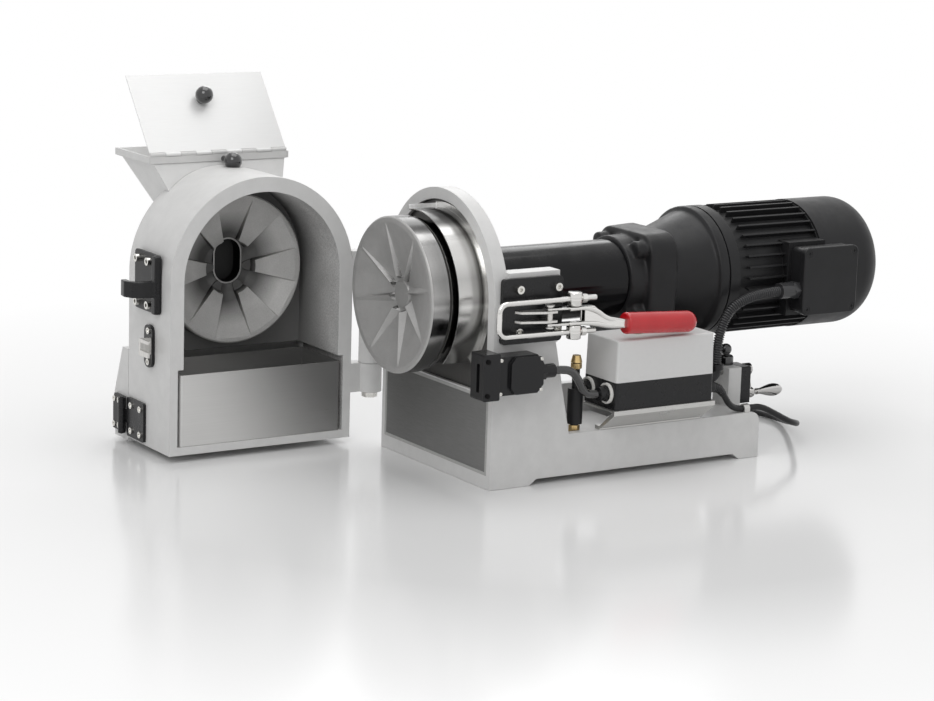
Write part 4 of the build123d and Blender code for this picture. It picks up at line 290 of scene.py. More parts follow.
    def place(self, graph: Graph, effect: Effect, inputs: dict) -> bpy.types.NodeOutputs:
        """Put a shared group into a material.

        Args:
            graph: the material's graph.
            effect: which group.
            inputs: values or sockets for its inputs.

        Returns:
            The group's outputs.
        """
        if effect not in self.built:
            builders = {Effect.EDGES: self.edges, Effect.GRAIN: self.grain, Effect.BRUSHED: self.brushed,
                        Effect.TURNED: self.turned, Effect.HANDLING: self.handling, Effect.DUST: self.dust,
                        Effect.PAINTED_REFLECTION: self.bands}
            builders[effect]()
        holder = graph.node("ShaderNodeGroup", node_tree=self.built[effect])
        for key, value in inputs.items():
            if isinstance(value, Socket):
                graph.tree.links.new(value, holder.inputs[key])
            else:
                holder.inputs[key].default_value = value
        return holder.outputs


EFFECTS = Effects()
DUST_COLOUR = (0.62, 0.60, 0.56)
GREY_DUST = (0.45, 0.44, 0.42)


# ---------------------------------------------------------------- finishes
@dataclass(frozen=True)
class Slab:
    """A box of the row frame, in metres, that masks part of a piece.

    Attributes:
        low: lowest corner.
        high: highest corner.
    """

    low: Point
    high: Point

    def mask(self, graph: Graph, coords: Socket) -> Socket:
        """Give 1 inside the box and 0 outside it.

        Args:
            graph: the material's graph.
            coords: object coordinates.

        Returns:
            The mask.
        """
        inside = None
        for part, low, high in zip(graph.parts(coords), self.low, self.high):
            middle, half = (low + high) / 2, (high - low) / 2
            off = graph.sum("ABSOLUTE", graph.sum("SUBTRACT", part, middle))
            near = graph.sum("LESS_THAN", off, half)
            inside = near if inside is None else graph.sum("MULTIPLY", inside, near)
        return inside


@dataclass(frozen=True)
class Bore(Slab):
    """The round space about an axis inside a box of the row frame, in metres.

    Attributes:
        centre: a point on the axis.
        axis: its direction.
        radius: how far the space reaches from it.
    """

    centre: Point
    axis: Point
    radius: float

    def mask(self, graph: Graph, coords: Socket) -> Socket:
        """Give 1 inside the round space and 0 outside it."""
        within = graph.sum("LESS_THAN", graph.away(coords, self.centre, self.axis), self.radius)
        return graph.sum("MULTIPLY", super().mask(graph, coords), within)


@dataclass(frozen=True)
class Surface:
    """Sockets that a finish hands to its shader."""

    colour: Socket
    roughness: Socket
    height: Socket
    metallic: object = 0.0


@dataclass(frozen=True)
class Finish:
    """One finish of the mill; the kinds below add what makes them look real.

    Attributes:
        slot: the record's material slot.
        colour: linear colour.
        roughness: mean roughness.
        relief: height of its fine relief in metres.
        edge: radius that edges are shaded with, in metres.
        coat: weight of a clear coat.
        gloss: specular level.
        bare: zones that are bare machined steel.
        bare_colour: linear colour of that steel.
        label: its material's name; the slot's name if left out.
    """

    slot: str
    colour: Colour
    roughness: float = 0.5
    relief: float = 0.00004
    edge: float = 0.0006
    coat: float = 0.0
    gloss: float = 0.5
    bare: tuple[Slab, ...] = ()
    bare_colour: Colour = (0.36, 0.355, 0.345)
    label: str = ""

    def shade(self, graph: Graph, coords: Socket, edge: Socket) -> Surface:
        """Give the colour, roughness and relief of the surface."""
        raise NotImplementedError

    def bared(self, graph: Graph, coords: Socket, surface: Surface, zone: Slab) -> Surface:
        """Lay bare machined steel over a zone of the surface.

        Args:
            graph: the material's graph.
            coords: object coordinates.
            surface: the surface round the zone.
            zone: where it is bare.

        Returns:
            The surface with the zone laid bare.
        """
        mask = zone.mask(graph, coords)
        lines = EFFECTS.place(graph, Effect.BRUSHED, {"Vector": coords, "Stretch": (500.0, 500.0, 60.0)})
        steel = graph.blend(lines["Streak"], tone(self.bare_colour, 0.86), tone(self.bare_colour, 1.18))
        rough = graph.even(lines["Streak"], 0.30, 0.44)
        return Surface(graph.blend(mask, surface.colour, steel), graph.even(mask, surface.roughness, rough),
                       surface.height, graph.sum("MAXIMUM", surface.metallic, mask))

    def material(self, name: str | None = None) -> bpy.types.Material:
        """Build the material once and hand it out again after that.

        Args:
            name: a name of its own; the label or the slot's name if left out.

        Returns:
            The node material.
        """
        name = name or self.label or self.slot
        if name in bpy.data.materials and bpy.data.materials[name].get("finished"):
            return bpy.data.materials[name]
        made = bpy.data.materials.new(name)
        made["finished"] = True
        made.use_nodes = True
        made.node_tree.nodes.clear()
        graph = Graph(made.node_tree)
        coords = graph.node("ShaderNodeTexCoord").outputs["Object"]
        edges = EFFECTS.place(graph, Effect.EDGES, {"Width": self.edge, "Break": 160.0})
        surface = self.shade(graph, coords, edges["Mask"])
        for zone in self.bare:
            surface = self.bared(graph, coords, surface, zone)
        bump = graph.node("ShaderNodeBump", {
            "Strength": 1.0, "Distance": self.relief, "Height": surface.height, "Normal": edges["Rounded"]})
        shader = graph.node("ShaderNodeBsdfPrincipled", {
            "Base Color": surface.colour, "Roughness": surface.roughness, "Metallic": surface.metallic,
            "Normal": bump.outputs[0], "Coat Weight": self.coat, "Coat Roughness": 0.12,
            "Specular IOR Level": self.gloss})
        graph.node("ShaderNodeOutputMaterial", {"Surface": shader.outputs[0]})
        made.diffuse_color = (*self.colour, 1.0)
        return made


def tone(colour: Colour, factor: float) -> Colour:
    """Make a colour lighter or darker by a factor."""
    return tuple(min(1.0, part * factor) for part in colour)


@dataclass(frozen=True)
class CastPaint(Finish):
    """Paint on a casting, with a raw inside where zones for it are given.

    Attributes:
        grain: how fine its skin is.
        wear: how much its edges are rubbed.
        raw: zones left as cast.
        raw_colour: linear colour of the raw casting.
        raw_shade_darkest: where, along X in metres, the painted shade on the raw inside is darkest.
        raw_shade_lightest: where that painted shade is lightest.
    """

    grain: float = 900.0
    wear: float = 0.35
    raw: tuple[Slab, ...] = ()
    raw_colour: Colour = (0.58, 0.577, 0.57)
    raw_shade_darkest: float = -0.272
    raw_shade_lightest: float = -0.188

    def shade(self, graph: Graph, coords: Socket, edge: Socket) -> Surface:
        """Mottle the paint, wear its edges and leave the raw zones rough, with painted shade that darkens
        them towards the back.

        Args:
            graph: the material's graph.
            coords: object coordinates.
            edge: mask of the rubbed edges.

        Returns:
            The surface's sockets.
        """
        cast = EFFECTS.place(graph, Effect.GRAIN, {"Vector": coords, "Scale": self.grain})
        dust = EFFECTS.place(graph, Effect.DUST, {"Vector": coords})["Mask"]
        use = EFFECTS.place(graph, Effect.HANDLING, {"Vector": coords, "Scale": 26.0})
        colour = graph.blend(cast["Mottle"], tone(self.colour, 0.965), tone(self.colour, 1.03))
        colour = graph.blend(graph.sum("MULTIPLY", dust, 0.12), colour, DUST_COLOUR)
        colour = graph.blend(graph.sum("MULTIPLY", edge, self.wear), colour, tone(self.colour, 1.16))
        roughness = graph.even(use["Smear"], self.roughness - 0.05, self.roughness + 0.06)
        height = cast["Height"]
        metallic: object = 0.0
        for zone in self.raw:
            mask = zone.mask(graph, coords)
            skin = EFFECTS.place(graph, Effect.GRAIN, {"Vector": coords, "Scale": 420.0})
            # painted shade: the raw inside darkens towards the back
            depth = graph.span(graph.parts(coords)[0], self.raw_shade_darkest, self.raw_shade_lightest)
            pitted_and_shaded = graph.blend(graph.span(skin["Height"], 0.35, 0.65), tone(self.raw_colour, 0.72),
                                 tone(self.raw_colour, 1.25))
            pitted_and_shaded = graph.blend(depth, tone(self.raw_colour, 0.32), pitted_and_shaded)
            colour = graph.blend(mask, colour, pitted_and_shaded)
            roughness = graph.even(mask, roughness, graph.even(skin["Mottle"], 0.48, 0.62))
            height = graph.even(mask, height, graph.sum("MULTIPLY", skin["Height"], 3.0))
            metallic = graph.sum("MAXIMUM", metallic, graph.sum("MULTIPLY", mask, 0.2))
        return Surface(colour, roughness, height, metallic)


def paint_reflection_bands(graph: Graph, colour: Socket, dark: Colour, strength: object, direction: Point) -> Socket:
    """Paint reflection bands over a steel's colour: a painted reflection.

    Args:
        graph: the material's graph.
        colour: the steel's colour.
        dark: colour of the darkest painted reflection.
        strength: how strong the bands are.
        direction: the direction that the bands follow each other in.

    Returns:
        The colour with the painted reflection.
    """
    shade = EFFECTS.place(graph, Effect.PAINTED_REFLECTION, {"Direction": direction})["Shade"]
    return graph.blend(graph.sum("MULTIPLY", shade, strength), colour, dark)


@dataclass(frozen=True)
class TurnedSteel(Finish):
    """Steel turned on a lathe: fine rings round an axis, a matt face and a polished rim.

    Attributes:
        centre: a point on the axis, in metres.
        axis: its direction.
        pitch: distance between the rings.
        grain: how fine its grain is.
        face_metal: how metallic the face is; the rim is bare metal.
        face_rough: roughness of the face.
        painted_reflection: how strong the painted reflection bands on the rim are.
        painted_hollow_shade: how much painted shade darkens the face towards the bottom of its hollow.
        painted_hollow_shade_from: where along the axis that painted shade is lightest, in metres.
        painted_hollow_shade_to: where it is darkest.
    """

    centre: Point = (0.0, 0.0, 0.0)
    axis: Point = (0.0, 1.0, 0.0)
    pitch: float = 0.0007
    grain: float = 700.0
    face_metal: float = 0.25
    face_rough: float = 0.5
    painted_reflection: float = 0.0
    painted_hollow_shade: float = 0.0
    painted_hollow_shade_from: float = 0.0
    painted_hollow_shade_to: float = 1.0

    def shade(self, graph: Graph, coords: Socket, edge: Socket) -> Surface:
        """Lay the rings over a lightly grained steel, with painted reflection on the rim, painted shade in
        the hollow and painted edge highlights.

        Args:
            graph: the material's graph.
            coords: object coordinates.
            edge: mask of the edges, lightened here as a painted highlight.

        Returns:
            The surface's sockets.
        """
        rings = EFFECTS.place(graph, Effect.TURNED, {
            "Vector": coords, "Centre": self.centre, "Axis": self.axis, "Pitch": self.pitch})
        cast = EFFECTS.place(graph, Effect.GRAIN, {"Vector": coords, "Scale": self.grain})
        use = EFFECTS.place(graph, Effect.HANDLING, {"Vector": coords, "Scale": 34.0})
        normal = graph.node("ShaderNodeTexCoord").outputs["Normal"]
        facing = graph.sum("ABSOLUTE", graph.dot(normal, self.axis))
        face = graph.span(facing, 0.25, 0.5)
        colour = graph.blend(rings["Ring"], tone(self.colour, 0.93), tone(self.colour, 1.07))
        colour = graph.blend(graph.span(cast["Height"], 0.35, 0.65, 0.0, 0.6), colour, tone(self.colour, 0.7))
        # painted reflection: dark bands on the rim, by the direction of its surface
        if self.painted_reflection:
            colour = paint_reflection_bands(graph, colour, tone(self.colour, 0.05),
                            graph.even(face, self.painted_reflection, 0.0), (0.0, 0.0, 1.0))
        # painted shade: the face darkens towards the bottom of its hollow
        if self.painted_hollow_shade:
            deep = graph.span(graph.dot(coords, self.axis), self.painted_hollow_shade_from, self.painted_hollow_shade_to, 0.0, self.painted_hollow_shade)
            colour = graph.blend(deep, colour, tone(self.colour, 0.1))
        # painted highlight: the edges are lightened
        colour = graph.blend(graph.sum("MULTIPLY", edge, 0.5), colour, tone(self.colour, 1.35))
        polished = graph.even(use["Smear"], self.roughness - 0.04, self.roughness + 0.05)
        matt = graph.even(use["Smear"], self.face_rough - 0.05, self.face_rough + 0.08)
        height = graph.even(0.4, rings["Height"], cast["Height"])
        metallic = graph.even(face, 1.0, self.face_metal)
        return Surface(colour, graph.even(face, polished, matt), height, metallic)


@dataclass(frozen=True)
class SheetSteel(Finish):
    """Rolled or brushed stainless sheet and bright bar; the stretch sets its lines.

    Attributes:
        stretch: how far noise is squeezed along each axis into lines.
        streak: how much the lines lighten and darken it.
        metal: how metallic it is.
        painted_reflection: how strong the painted reflection bands are.
        painted_reflection_along: the direction that the painted reflection bands follow each other in.
        painted_shade: how strong a painted shade across it is, standing in for a soft reflected shadow.
        painted_shade_along: the direction and steepness of that painted shade.
        painted_shade_from: where along it the sheet is lightest.
        painted_shade_to: where it is darkest.
    """

    stretch: Point = (900.0, 900.0, 40.0)
    streak: float = 0.08
    metal: float = 1.0
    painted_reflection: float = 0.0
    painted_reflection_along: Point = (0.0, 0.0, 1.0)
    painted_shade: float = 0.0
    painted_shade_along: Point = (0.0, 1.0, 0.0)
    painted_shade_from: float = 0.0
    painted_shade_to: float = 1.0

    def shade(self, graph: Graph, coords: Socket, edge: Socket) -> Surface:
        """Draw the brushed lines, painted reflection bands, a painted shade across the sheet, painted edge
        highlights and the marks of handling.

        Args:
            graph: the material's graph.
            coords: object coordinates.
            edge: mask of the edges, lightened here as a painted highlight.

        Returns:
            The surface's sockets.
        """
        lines = EFFECTS.place(graph, Effect.BRUSHED, {"Vector": coords, "Stretch": self.stretch})
        use = EFFECTS.place(graph, Effect.HANDLING, {"Vector": coords, "Scale": 20.0})
        colour = graph.blend(lines["Streak"], tone(self.colour, 1 - self.streak),
                             tone(self.colour, 1 + self.streak))
        # painted reflection: dark and light bands, by the direction of the surface
        if self.painted_reflection:
            colour = paint_reflection_bands(graph, colour, tone(self.colour, 0.06), self.painted_reflection, self.painted_reflection_along)
        # painted shade: a soft reflected shadow laid across the sheet
        if self.painted_shade:
            shade_share = graph.node("ShaderNodeMapRange", {
                0: graph.dot(coords, self.painted_shade_along), 1: self.painted_shade_from, 2: self.painted_shade_to, 3: 0.0,
                4: self.painted_shade}, interpolation_type="SMOOTHSTEP").outputs[0]
            colour = graph.blend(shade_share, colour, tone(self.colour, 0.12))
        # painted highlight: the edges are lightened
        colour = graph.blend(graph.sum("MULTIPLY", edge, 0.5), colour, tone(self.colour, 1.3))
        smear = graph.even(use["Smear"], self.roughness - 0.02, self.roughness + 0.03)
        lined = graph.span(lines["Streak"], 0.0, 1.0, -0.01, 0.02)
        roughness = graph.sum("ADD", smear, lined, clamp=True)
        return Surface(colour, roughness, lines["Height"], self.metal)


@dataclass(frozen=True)
class Moulding(Finish):
    """Moulded plastic, rubber, lacquer or enamel: fine skin, smears and rubbed edges.

    Attributes:
        skin: how fine its skin is.
        rub: how much lighter its rubbed edges are.
        metal: how metallic it is.
        mottle: how much its colour varies.
    """

    skin: float = 2600.0
    rub: float = 1.8
    metal: float = 0.0
    mottle: float = 0.08

    def shade(self, graph: Graph, coords: Socket, edge: Socket) -> Surface:
        """Give the skin its fine grain, smears, dust and rubbed edges.

        Args:
            graph: the material's graph.
            coords: object coordinates.
            edge: mask of the rubbed edges.

        Returns:
            The surface's sockets.
        """
        cast = EFFECTS.place(graph, Effect.GRAIN, {"Vector": coords, "Scale": self.skin})
        use = EFFECTS.place(graph, Effect.HANDLING, {"Vector": coords, "Scale": 40.0})
        dust = EFFECTS.place(graph, Effect.DUST, {"Vector": coords})["Mask"]
        colour = graph.blend(cast["Mottle"], tone(self.colour, 1 - self.mottle),
                             tone(self.colour, 1 + self.mottle))
        colour = graph.blend(graph.sum("MULTIPLY", dust, 0.05), colour, GREY_DUST)
        rubbed = tuple(min(1.0, part * self.rub + 0.01) for part in self.colour)
        colour = graph.blend(graph.sum("MULTIPLY", edge, 0.5), colour, rubbed)
        roughness = graph.even(use["Smear"], max(0.03, self.roughness - 0.05), self.roughness + 0.07)
        return Surface(colour, roughness, cast["Height"], self.metal)


# ---------------------------------------------------------------- mesh helpers
def attach(piece: bpy.types.Object, body: str) -> None:
    """Put a new piece into the scene, riding on a body.

    Args:
        piece: the new piece.
        body: the body that it rides on.
    """
    bpy.context.scene.collection.objects.link(piece)
    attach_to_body(piece, body)


def mesh_piece(name: str, points: Sequence[Vector], faces: Sequence[Sequence[int]], body: str, finish: Finish,
               sharp: float = 35.0) -> bpy.types.Object:
    """Make a mesh piece that rides on a body.

    Args:
        name: the piece's name.
        points: its vertices in metres.
        faces: vertex numbers of each face.
        body: the body that it rides on.
        finish: its finish.
        sharp: angle in degrees above which an edge stays sharp.

    Returns:
        The new object.
    """
    mesh = bpy.data.meshes.new(name)
    mesh.from_pydata([tuple(p) for p in points], [], [tuple(f) for f in faces])
    mesh.validate()
    mesh.shade_smooth()
    mesh.set_sharp_from_angle(angle=math.radians(sharp))
    piece = bpy.data.objects.new(name, mesh)
    mesh.materials.append(finish.material())
    attach(piece, body)
    return piece


def ring_faces(first: int, second: int, count: int) -> list[tuple[int, int, int, int]]:
    """Join two closed rings of vertices that start at the given numbers."""
    return [(first + i, first + (i + 1) % count, second + (i + 1) % count, second + i) for i in range(count)]


def circle(centre: Vector, across: Vector, other: Vector, radius: float, sides: int) -> list[Vector]:
    """List the points of a circle.

    Args:
        centre: its middle.
        across: one direction in its plane.
        other: the direction square to it.
        radius: its radius.
        sides: how many points it has.

    Returns:
        Its points.
    """
    return [centre + (across * math.cos(a) + other * math.sin(a)) * radius
            for a in (2 * math.pi * k / sides for k in range(sides))]


def end_faces(total: int, sides: int) -> list[tuple[int, ...]]:
    """Close the first and the last ring of a mesh with this many points."""
    return [tuple(reversed(range(sides))), tuple(range(total - sides, total))]


def tube_mesh(path: Sequence[Vector], radii: Sequence[float], sides: int = 28) -> tuple[list[Vector], list]:
    """Sweep a circle of changing radius along a path.

    Args:
        path: centre of each ring.
        radii: radius of each ring.
        sides: points in a ring.

    Returns:
        The vertices and the faces, with both ends closed.
    """
    points: list[Vector] = []
    faces: list = []
    tangent = (path[1] - path[0]).normalized()
    across = tangent.orthogonal().normalized()
    for index, (centre, radius) in enumerate(zip(path, radii)):
        ahead = path[min(index + 1, len(path) - 1)] - path[max(index - 1, 0)]
        turn = tangent.rotation_difference(ahead.normalized())
        tangent, across = ahead.normalized(), (turn @ across).normalized()
        points += circle(centre, across, tangent.cross(across), radius, sides)
        if index:
            faces += ring_faces((index - 1) * sides, index * sides, sides)
    return points, faces + end_faces(len(points), sides)


def lathe(profile: Sequence[tuple[float, float]], start: Vector, axis: Vector,
          sides: int = 64) -> tuple[list, list]:
    """Turn a profile about an axis.

    Args:
        profile: distance along the axis and radius, in millimetres, from one end to the other.
        start: where the axis starts, in metres.
        axis: its direction.
        sides: points round it.

    Returns:
        The vertices and the faces.
    """
    axis = axis.normalized()
    across = axis.orthogonal().normalized()
    other = axis.cross(across)
    points: list[Vector] = []
    faces: list = []
    for index, (along, radius) in enumerate(profile):
        centre = start + axis * along * MM
        points += circle(centre, across, other, max(radius, 0.001) * MM, sides)
        if index:
            faces += ring_faces((index - 1) * sides, index * sides, sides)
    return points, faces + end_faces(len(points), sides)


def dress(finish: Finish, *nodes: str, material: str | None = None) -> None:
    """Give CAD nodes their finish.

    Args:
        finish: the finish.
        nodes: names of the nodes.
        material: name of a material of its own, if it isn't the slot's.
    """
    made = finish.material(material)
    for name in nodes:
        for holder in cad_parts[name].material_slots:
            holder.material = made


def forged(node: str, name: str, body: str, finish: Finish, voxel: float, passes: int) -> bpy.types.Object:
    """Replace a CAD node by a copy whose edges are rounded like a casting's or a forging's.

    Args:
        node: the CAD node.
        name: the new piece's name.
        body: the body that it rides on.
        finish: its finish.
        voxel: size of the cells that its mesh is built from, in metres.
        passes: how often the mesh is smoothed.

    Returns:
        The new piece.
    """
    rough = bpy.data.objects.new(name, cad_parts[node].data.copy())
    bpy.context.scene.collection.objects.link(rough)
    cells = rough.modifiers.new("cells", "REMESH")
    cells.mode, cells.voxel_size = "VOXEL", voxel
    ease = rough.modifiers.new("ease", "SMOOTH")
    ease.factor, ease.iterations = 0.5, passes
    seen = rough.evaluated_get(bpy.context.evaluated_depsgraph_get())
    mesh = bpy.data.meshes.new_from_object(seen)
    bpy.data.objects.remove(rough)
    mesh.name = name
    mesh.materials.clear()
    mesh.materials.append(finish.material(name + "_finish"))
    mesh.shade_smooth()
    piece = bpy.data.objects.new(name, mesh)
    attach(piece, body)
    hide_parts(node)
    return piece


# ---------------------------------------------------------------- the mill's sizes
AXIS_Z = 233.0
DOOR_X, DOOR_Y = -162.7, -166.3
FITTING_STEEL = (0.62, 0.61, 0.59)


@dataclass
class Palette:
    """The mill's finishes."""

    body: CastPaint = CastPaint("body_paint", (0.66, 0.658, 0.652), roughness=0.42, relief=0.00008,
        edge=0.0012)
    # the turning disc: painted reflection on its rim and painted shade in its dished face
    rotor: TurnedSteel = TurnedSteel("disc_steel", (0.44, 0.436, 0.43), roughness=0.16, relief=0.00008,
        edge=0.0005, centre=(0.0, 0.0, AXIS_Z * MM), axis=(0.0, 1.0, 0.0), painted_reflection=0.95, face_metal=0.4,
        face_rough=0.42, painted_hollow_shade=0.3, painted_hollow_shade_from=-0.066, painted_hollow_shade_to=-0.050, grain=1100.0, label="turning_disc_steel")
    # the fixed disc: painted shade deep in its scoops
    stator: TurnedSteel = TurnedSteel("disc_steel", (0.56, 0.555, 0.545), roughness=0.38, relief=0.00006,
        edge=0.0006, centre=(0.0, DOOR_Y * MM, AXIS_Z * MM), axis=(1.0, 0.0, 0.0), painted_hollow_shade=0.93, painted_hollow_shade_from=-0.2505,
        painted_hollow_shade_to=-0.2625, face_metal=0.3, label="fixed_disc_steel")
    # the drum: painted reflection on its rim
    drum: TurnedSteel = TurnedSteel("disc_steel", (0.30, 0.295, 0.285), roughness=0.2, relief=0.00003,
        edge=0.0006, face_metal=0.8, centre=(0.0, 0.0, AXIS_Z * MM), axis=(0.0, 1.0, 0.0), painted_reflection=1.0)
    # the shroud: painted reflection bands
    shroud: SheetSteel = SheetSteel("sheet_steel", (0.66, 0.655, 0.64), roughness=0.2, relief=0.00001,
        edge=0.0004, stretch=(40.0, 900.0, 40.0), streak=0.04, painted_reflection=0.95)
    # the vessel: painted shade across the sheet
    sheet: SheetSteel = SheetSteel("sheet_steel", (0.62, 0.615, 0.605), roughness=0.3, relief=0.000002,
        edge=0.0004, metal=0.4, stretch=(6.0, 6.0, 1500.0), streak=0.04, painted_shade=0.78,
        painted_shade_along=(0.0, 4.2, 3.0), painted_shade_from=-0.95, painted_shade_to=0.05)
    panel: SheetSteel = SheetSteel("sheet_steel", (0.25, 0.25, 0.247), roughness=0.42, relief=0.00002,
        edge=0.0004, stretch=(40.0, 40.0, 1300.0), streak=0.12)
    plate: SheetSteel = SheetSteel("sheet_steel", (0.55, 0.545, 0.53), roughness=0.28, relief=0.00001,
        edge=0.0004, metal=0.8, stretch=(900.0, 40.0, 900.0), streak=0.05)
    # the lid: a faint painted shade across the sheet
    lid: SheetSteel = SheetSteel("lid_sheet", (0.80, 0.80, 0.795), roughness=0.34, relief=0.00001,
        edge=0.0004, metal=0.15, stretch=(900.0, 40.0, 900.0), streak=0.02, painted_shade=0.16,
        painted_shade_along=(0.0, 3.0, -2.0), painted_shade_from=-1.3, painted_shade_to=-0.95)
    # bright bar: painted reflection bands
    bright: SheetSteel = SheetSteel("bright_steel", (0.76, 0.75, 0.73), roughness=0.17, relief=0.00001,
        edge=0.0005, stretch=(90.0, 60.0, 700.0), streak=0.03, painted_reflection=0.6)
    # the crank: painted reflection bands
    crank: SheetSteel = SheetSteel("crank_steel", (0.55, 0.54, 0.53), roughness=0.12, relief=0.00001,
        edge=0.0005, stretch=(300.0, 60.0, 300.0), streak=0.03, painted_reflection=0.95)
    screw: SheetSteel = SheetSteel("screw_steel", (0.66, 0.65, 0.62), roughness=0.2, relief=0.00001,
        edge=0.0004, stretch=(200.0, 200.0, 200.0), streak=0.06)
    gear: SheetSteel = SheetSteel("gear_steel", (0.45, 0.44, 0.42), roughness=0.3, relief=0.00002,
        edge=0.0004, stretch=(300.0, 60.0, 300.0))
    brass: SheetSteel = SheetSteel("brass_fit", (0.62, 0.45, 0.21), roughness=0.24, relief=0.00002,
        edge=0.0004, stretch=(90.0, 90.0, 500.0), streak=0.1)
    tube: Moulding = Moulding("tube_gloss", (0.004, 0.004, 0.005), roughness=0.16, relief=0.00001,
        edge=0.0008, gloss=0.22, skin=500.0)
    drive: Moulding = Moulding("drive_black", (0.014, 0.014, 0.015), roughness=0.42, relief=0.00007,
        edge=0.0009, gloss=0.25, skin=700.0, rub=2.0)
    plastic: Moulding = Moulding("black_plastic", (0.012, 0.012, 0.013), roughness=0.28, relief=0.00002,
        edge=0.0006, gloss=0.3)
    conduit: Moulding = Moulding("black_plastic", (0.035, 0.035, 0.037), roughness=0.2, relief=0.00001,
        edge=0.0004, gloss=0.45, rub=3.0, label="conduit_plastic")
    gloss: Moulding = Moulding("black_gloss", (0.008, 0.008, 0.009), roughness=0.09, relief=0.000005,
        edge=0.0006, coat=0.8)
    grip: Moulding = Moulding("red_grip", (0.50, 0.004, 0.010), roughness=0.2, relief=0.00001, edge=0.0008,
        coat=0.35, skin=400.0, rub=1.2)
    cover: Moulding = Moulding("cover_grey", (0.69, 0.69, 0.685), roughness=0.42, relief=0.00001, edge=0.0009,
        rub=1.1, mottle=0.012)
    cable: Moulding = Moulding("cable_rubber", (0.010, 0.010, 0.011), roughness=0.30, relief=0.00002,
        edge=0.0005, gloss=0.3, rub=1.4)
    white: Moulding = Moulding("white_plastic", (0.80, 0.79, 0.76), roughness=0.35, relief=0.00002,
        edge=0.0005, rub=1.05)
    seal: Moulding = Moulding("seal_rubber", (0.42, 0.42, 0.41), roughness=0.5, relief=0.00003, edge=0.0004,
        rub=1.1)
    green: Moulding = Moulding("green_button", (0.02, 0.30, 0.07), roughness=0.3, relief=0.00001, edge=0.0005)
    red: Moulding = Moulding("red_button", (0.55, 0.02, 0.02), roughness=0.3, relief=0.00001, edge=0.0005)


